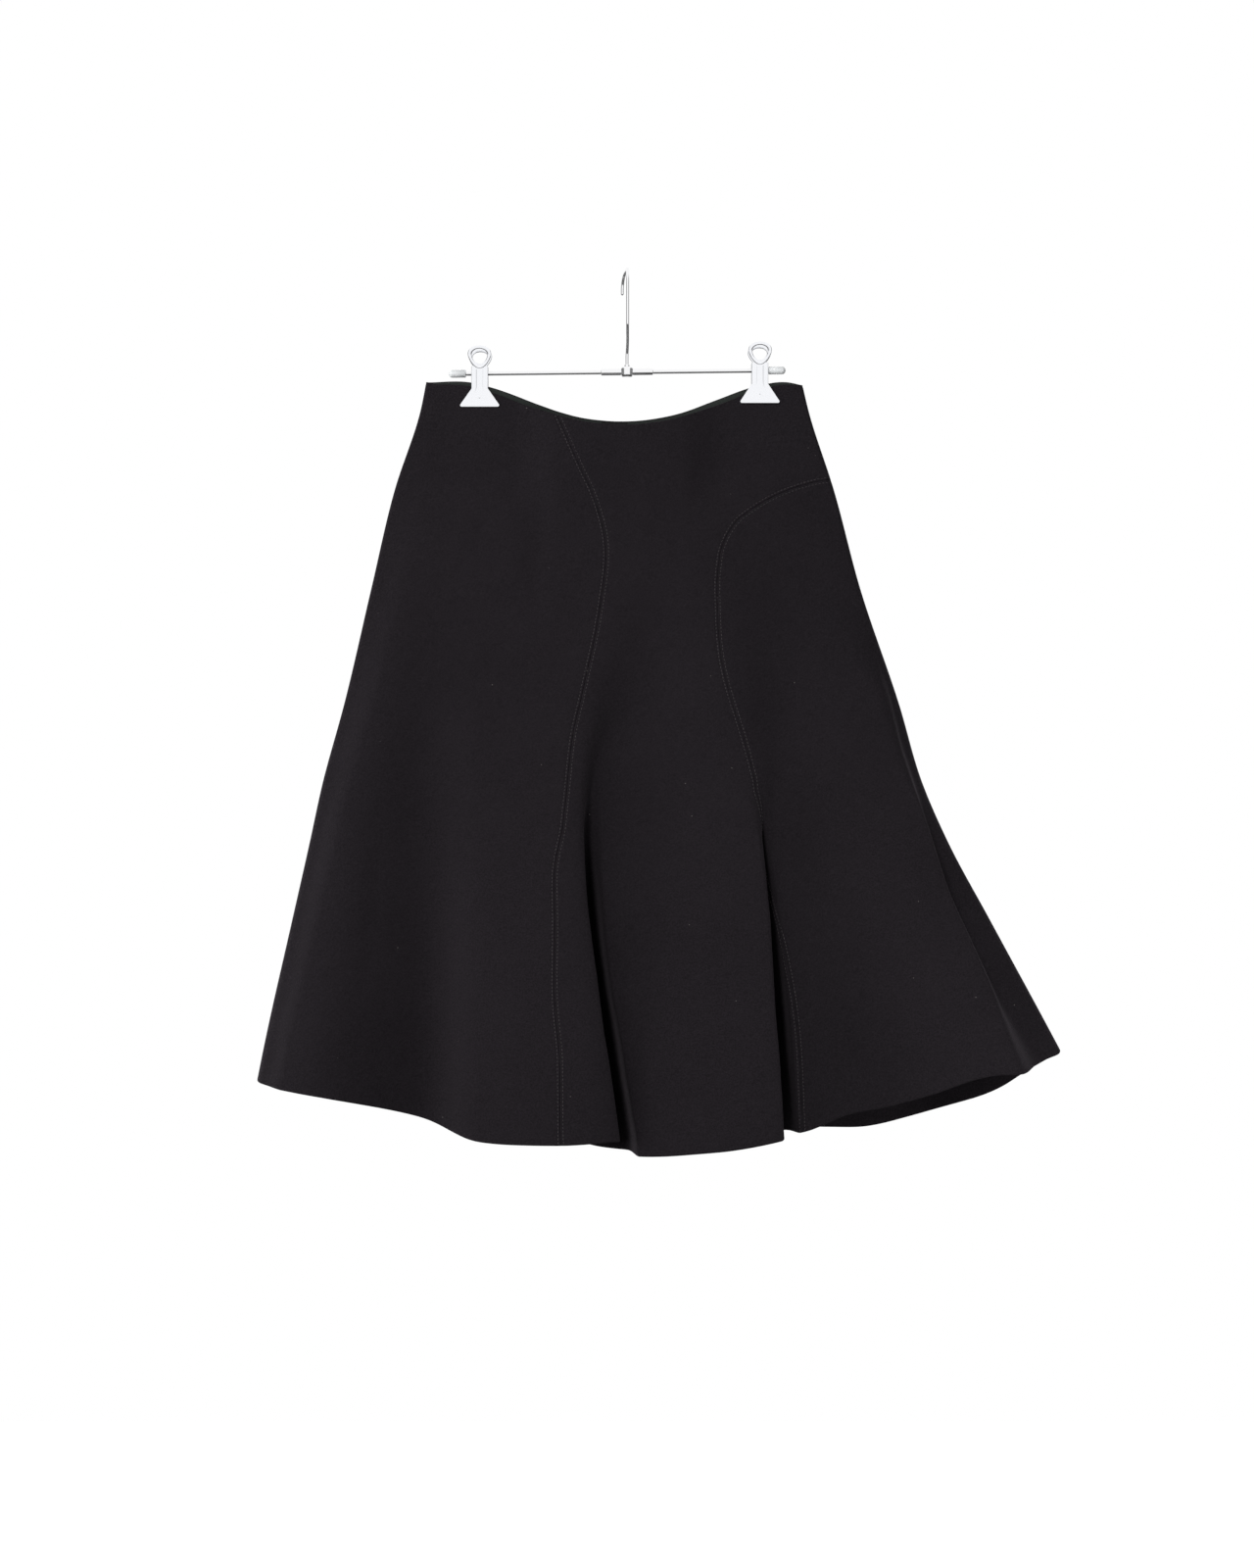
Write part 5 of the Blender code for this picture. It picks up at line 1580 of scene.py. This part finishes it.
@dataclass(frozen=True)
class Finish:
    """A finish's name, and the plain numbers of its shader."""

    name: str

    def start(self, **constants: object) -> tuple[bpy.types.Material, Nodes, bpy.types.Node]:
        """Starts a material, with the shader's constants set on its own sockets by name, _ for a space."""
        made = bpy.data.materials.new(self.name)
        made.use_nodes = True
        shader = made.node_tree.nodes["Principled BSDF"]
        for name, value in constants.items():
            shader.inputs[name.replace("_", " ")].default_value = value
        return made, Nodes(made.node_tree), shader

    @staticmethod
    def bump(nodes: Nodes, shader: bpy.types.Node, height: object, strength: float, distance: float) -> None:
        """Leads a height to the shader's normal."""
        node = nodes.add("Bump", None, Height=height, Strength=strength, Distance=distance)
        nodes.join(node.outputs["Normal"], shader, "Normal")


@dataclass(frozen=True)
class HardFinish(Finish):
    """A hard finish's range of roughness, the scale of its handling and its finest relief."""

    low: float
    high: float
    scale: float
    relief: float
    relief_depth: float

    def handle(self, nodes: Nodes, shader: bpy.types.Node, effects: Effects, place: object) -> None:
        """Clouds the roughness by handling, and gives the surface its finest relief."""
        handled = nodes.group(effects.handled, place, Scale=self.scale, Low=self.low, High=self.high)
        nodes.join(handled["Roughness"], shader, "Roughness")
        self.bump(nodes, shader, handled["Height"], self.relief, self.relief_depth)


@dataclass(frozen=True)
class Fabric(Finish):
    """A cloth: its dark and light colours, weave, nap and sheen."""

    dark: tuple[float, float, float]
    light: tuple[float, float, float]
    threads: float
    twill: float
    fuzz: float
    bump_depth: float
    roughness: float
    sheen: float
    sheen_tint: tuple[float, float, float]
    specular: float = 0.25
    lint: float = 0.0
    mottle: float = 700.0
    lint_scale: float = 46.0
    lint_size: float = 0.019
    lint_colour: tuple[float, float, float] = (0.30, 0.28, 0.27)

    def build(self, effects: Effects) -> bpy.types.Material:
        """Returns the material, whose weave follows the piece's own flat places."""
        made, nodes, shader = self.start(
            Roughness=self.roughness,
            Sheen_Weight=self.sheen,
            Sheen_Roughness=0.45,
            Sheen_Tint=(*self.sheen_tint, 1),
            Specular_IOR_Level=self.specular,
        )
        place = nodes.add("TexCoord").outputs["Object"]
        flat = nodes.add("UVMap", {"uv_map": "cloth"}).outputs["UV"]
        mottled = nodes.group(effects.mottled, place, Fine=self.mottle, Share=0.12)["Mask"]
        colour = nodes.blend(mottled, (*self.dark, 1), (*self.light, 1))
        if self.lint:
            cells = nodes.add("TexVoronoi", None, Vector=place, Scale=self.lint_scale)
            near = nodes.math("LESS_THAN", cells.outputs["Distance"], self.lint_size)
            colour = nodes.blend(nodes.math("MULTIPLY", near, self.lint), colour, (*self.lint_colour, 1))
        nodes.join(colour, shader, "Base Color")
        values = {"Threads": self.threads, "Twill": self.twill, "Fuzz": self.fuzz}
        woven = nodes.group(effects.woven, flat, **values)["Height"]
        both = nodes.math("ADD", woven, nodes.math("MULTIPLY", mottled, 0.8))
        self.bump(nodes, shader, both, 0.6, self.bump_depth)
        return made


@dataclass(frozen=True)
class Metal(HardFinish):
    """A plated metal and its colour."""

    colour: tuple[float, float, float]

    def build(self, effects: Effects) -> bpy.types.Material:
        """Returns the material."""
        made, nodes, shader = self.start(Metallic=1.0, Base_Color=(*self.colour, 1))
        self.handle(nodes, shader, effects, nodes.add("TexCoord").outputs["Object"])
        return made


@dataclass(frozen=True)
class Plastic(HardFinish):
    """A moulded plastic: its colours, clouded a little."""

    dark: tuple[float, float, float]
    light: tuple[float, float, float]
    mottle: float = 350.0

    def build(self, effects: Effects) -> bpy.types.Material:
        """Returns the material."""
        made, nodes, shader = self.start(Specular_IOR_Level=0.5)
        place = nodes.add("TexCoord").outputs["Object"]
        mottled = nodes.group(effects.mottled, place, Fine=self.mottle)["Mask"]
        nodes.join(nodes.blend(mottled, (*self.dark, 1), (*self.light, 1)), shader, "Base Color")
        self.handle(nodes, shader, effects, place)
        return made


WOOL = Fabric(
    "napped_wool",
    dark=(0.0105, 0.0090, 0.0106),
    light=(0.0200, 0.0172, 0.0202),
    threads=2800.0,
    twill=0.5,
    fuzz=0.9,
    bump_depth=0.35 * MM,
    roughness=0.95,
    sheen=0.05,
    sheen_tint=(0.9, 0.8, 0.9),
    specular=0.04,
    lint=0.5,
)
LINING = Fabric(
    "facing_cloth",
    dark=(0.010, 0.0125, 0.0112),
    light=(0.017, 0.0205, 0.0185),
    threads=5200.0,
    twill=0.2,
    fuzz=0.3,
    bump_depth=0.12 * MM,
    roughness=0.6,
    sheen=0.05,
    sheen_tint=(1, 1, 1),
)
TAPE = Fabric(
    "zip_tape_cloth",
    dark=(0.008, 0.008, 0.008),
    light=(0.016, 0.016, 0.016),
    threads=6000.0,
    twill=0.9,
    fuzz=0.2,
    bump_depth=0.15 * MM,
    roughness=0.8,
    sheen=0.05,
    sheen_tint=(1, 1, 1),
)
THREAD = Fabric(
    "topstitch_thread",
    dark=(0.026, 0.023, 0.025),
    light=(0.062, 0.055, 0.058),
    threads=9000.0,
    twill=1.0,
    fuzz=0.1,
    bump_depth=0.05 * MM,
    roughness=0.45,
    sheen=0.15,
    sheen_tint=(1, 0.95, 0.97),
    mottle=450.0,
)
CHROME = Metal("bright_chrome", 0.04, 0.10, 60.0, 0.06, 0.03 * MM, (0.93, 0.93, 0.94))
SATIN = Metal("satin_chrome", 0.09, 0.18, 90.0, 0.06, 0.03 * MM, (0.91, 0.92, 0.95))
CAP = Plastic("cap_plastic", 0.12, 0.22, 120.0, 0.05, 0.02 * MM, (0.73, 0.75, 0.76), (0.78, 0.80, 0.81))


@dataclass(frozen=True)
class Lamp:
    """A square soft lamp: its place, the point that it is aimed at, its width and its power in watts."""

    name: str
    place: tuple[float, float, float]
    aim: tuple[float, float, float]
    size: float
    power: float

    def make(self) -> None:
        """Adds the lamp, which no shiny surface mirrors."""
        data = bpy.data.lights.new(self.name, "AREA")
        data.shape = "SQUARE"
        data.size = self.size
        data.energy = self.power
        lamp = linked(self.name, data)
        lamp.visible_glossy = False
        lamp.location = self.place
        x, y, z = np.array(self.place) - np.array(self.aim)
        lamp.rotation_euler = (math.atan2(math.hypot(x, y), z), 0, math.atan2(x, -y))


SKIRT_MIDDLE = (0, 0, -0.5)
LAMPS = rows_of(
    Lamp,
    ("key", (-0.73, -2.02, 1.30), SKIRT_MIDDLE, 0.5, 41),
    ("front", (-0.57, -2.70, -0.01), SKIRT_MIDDLE, 0.4, 8),
    ("left", (-2.29, -1.60, -0.26), SKIRT_MIDDLE, 1.2, 20.5),
    ("side", (-2.70, -0.72, -0.50), SKIRT_MIDDLE, 1.2, 35),
    ("near", (0.62, -0.50, -0.80), (0.15, 0, -0.6), 0.7, 2.3),
    ("back", (1.40, 1.90, 0.80), SKIRT_MIDDLE, 1.0, 48),
    ("back_side", (-1.90, 1.90, -0.30), SKIRT_MIDDLE, 1.0, 22),
)


@dataclass(frozen=True)
class Studio:
    """The plain studio: a pale floor, a pale surround, five lamps in front and to the left, and two behind."""

    floor_drop: float = 1.75
    camera_off: float = 2.09
    camera_drop: float = 0.4926
    lens: float = 50.0
    pale: tuple[float, float, float] = (1.0, 1.0, 1.0)
    ambient: float = 0.004
    glow: float = 1.0
    bounce: float = 0.02
    mirrored_floor: float = 0.03
    mirrored_sides: float = 0.20
    mirrored_low: float = 0.05

    @staticmethod
    def glowing(
        nodes: Nodes, socket: bpy.types.NodeSocket, seen: float, soft: float, mirrored: object
    ) -> None:
        """Sets a glow's strength as it is seen, as it lights a soft surface and as a shiny one mirrors it."""
        path = nodes.add("LightPath")
        share = nodes.spread(path.outputs["Is Diffuse Ray"], 0.0, 1.0, seen, soft)
        inputs = {"_0": path.outputs["Is Glossy Ray"], "_2": share, "_3": mirrored}
        nodes.tree.links.new(nodes.add("Mix", {"data_type": "FLOAT"}, **inputs).outputs[0], socket)

    def make(self) -> None:
        """Makes the surround, the floor, the lamps and the camera."""
        bpy.context.scene.view_settings.view_transform = "Standard"
        self.make_surround()
        self.make_floor()
        for lamp in LAMPS:
            lamp.make()
        data = bpy.data.cameras.new("camera")
        data.lens = self.lens
        data.sensor_width = 36
        camera = linked("camera", data)
        camera.location = (0, -self.camera_off, -self.camera_drop)
        camera.rotation_euler = (math.pi / 2, 0, 0)
        bpy.context.scene.camera = camera

    def make_surround(self) -> None:
        """Makes the world: pale as it is seen, and dim at the sides and low down where metal mirrors it."""
        world = bpy.data.worlds.new("pale_surround")
        world.use_nodes = True
        ground = world.node_tree.nodes["Background"]
        ground.inputs["Color"].default_value = (*self.pale, 1)
        nodes = Nodes(world.node_tree)
        way = nodes.add("SeparateXYZ", None, Vector=nodes.add("TexCoord").outputs["Generated"]).outputs
        edges = nodes.spread(nodes.math("ABSOLUTE", way[0]), 0.72, 0.86, 1.0, self.mirrored_sides)
        low = nodes.spread(way[2], -0.50, -0.36, self.mirrored_low, 1.0)
        mirrored = nodes.math("MULTIPLY", edges, low)
        self.glowing(nodes, ground.inputs["Strength"], 1.0, self.ambient, mirrored)
        bpy.context.scene.world = world

    def make_floor(self) -> None:
        """Makes the pale floor, well below the skirt."""
        half, near, far, level = 3.0, -3.2, 2.2, -self.floor_drop
        corners = [(-half, near, level), (half, near, level), (half, far, level), (-half, far, level)]
        mesh = bpy.data.meshes.new("floor")
        mesh.from_pydata(corners, [], [(0, 1, 2, 3)])
        made = bpy.data.materials.new("pale_floor")
        made.use_nodes = True
        shader = made.node_tree.nodes["Principled BSDF"]
        shader.inputs["Base Color"].default_value = (0.15, 0.15, 0.15, 1)
        shader.inputs["Roughness"].default_value = 0.9
        shader.inputs["Emission Color"].default_value = (*self.pale, 1)
        strength = shader.inputs["Emission Strength"]
        self.glowing(Nodes(made.node_tree), strength, self.glow, self.bounce, self.mirrored_floor)
        mesh.materials.append(made)
        linked("floor", mesh)


def main() -> None:
    """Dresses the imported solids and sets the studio."""
    logging.basicConfig(level=logging.INFO, format="%(message)s")
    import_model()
    Studio().make()
    effects, form = Effects(), SkirtForm()
    thread, tape = THREAD.build(effects), TAPE.build(effects)
    cloth = SkirtCloth(form, WOOL.build(effects), LINING.build(effects), tape, thread)
    cloth.make_front()
    cloth.make_back()
    chrome = CHROME.build(effects)
    hanger = Hanger(chrome, SATIN.build(effects), CAP.build(effects))
    hanger.make_bar()
    hanger.make_hook()
    hanger.make_clips()
    ZipEnd(form, chrome).make()


if __name__ == "__main__":
    main()
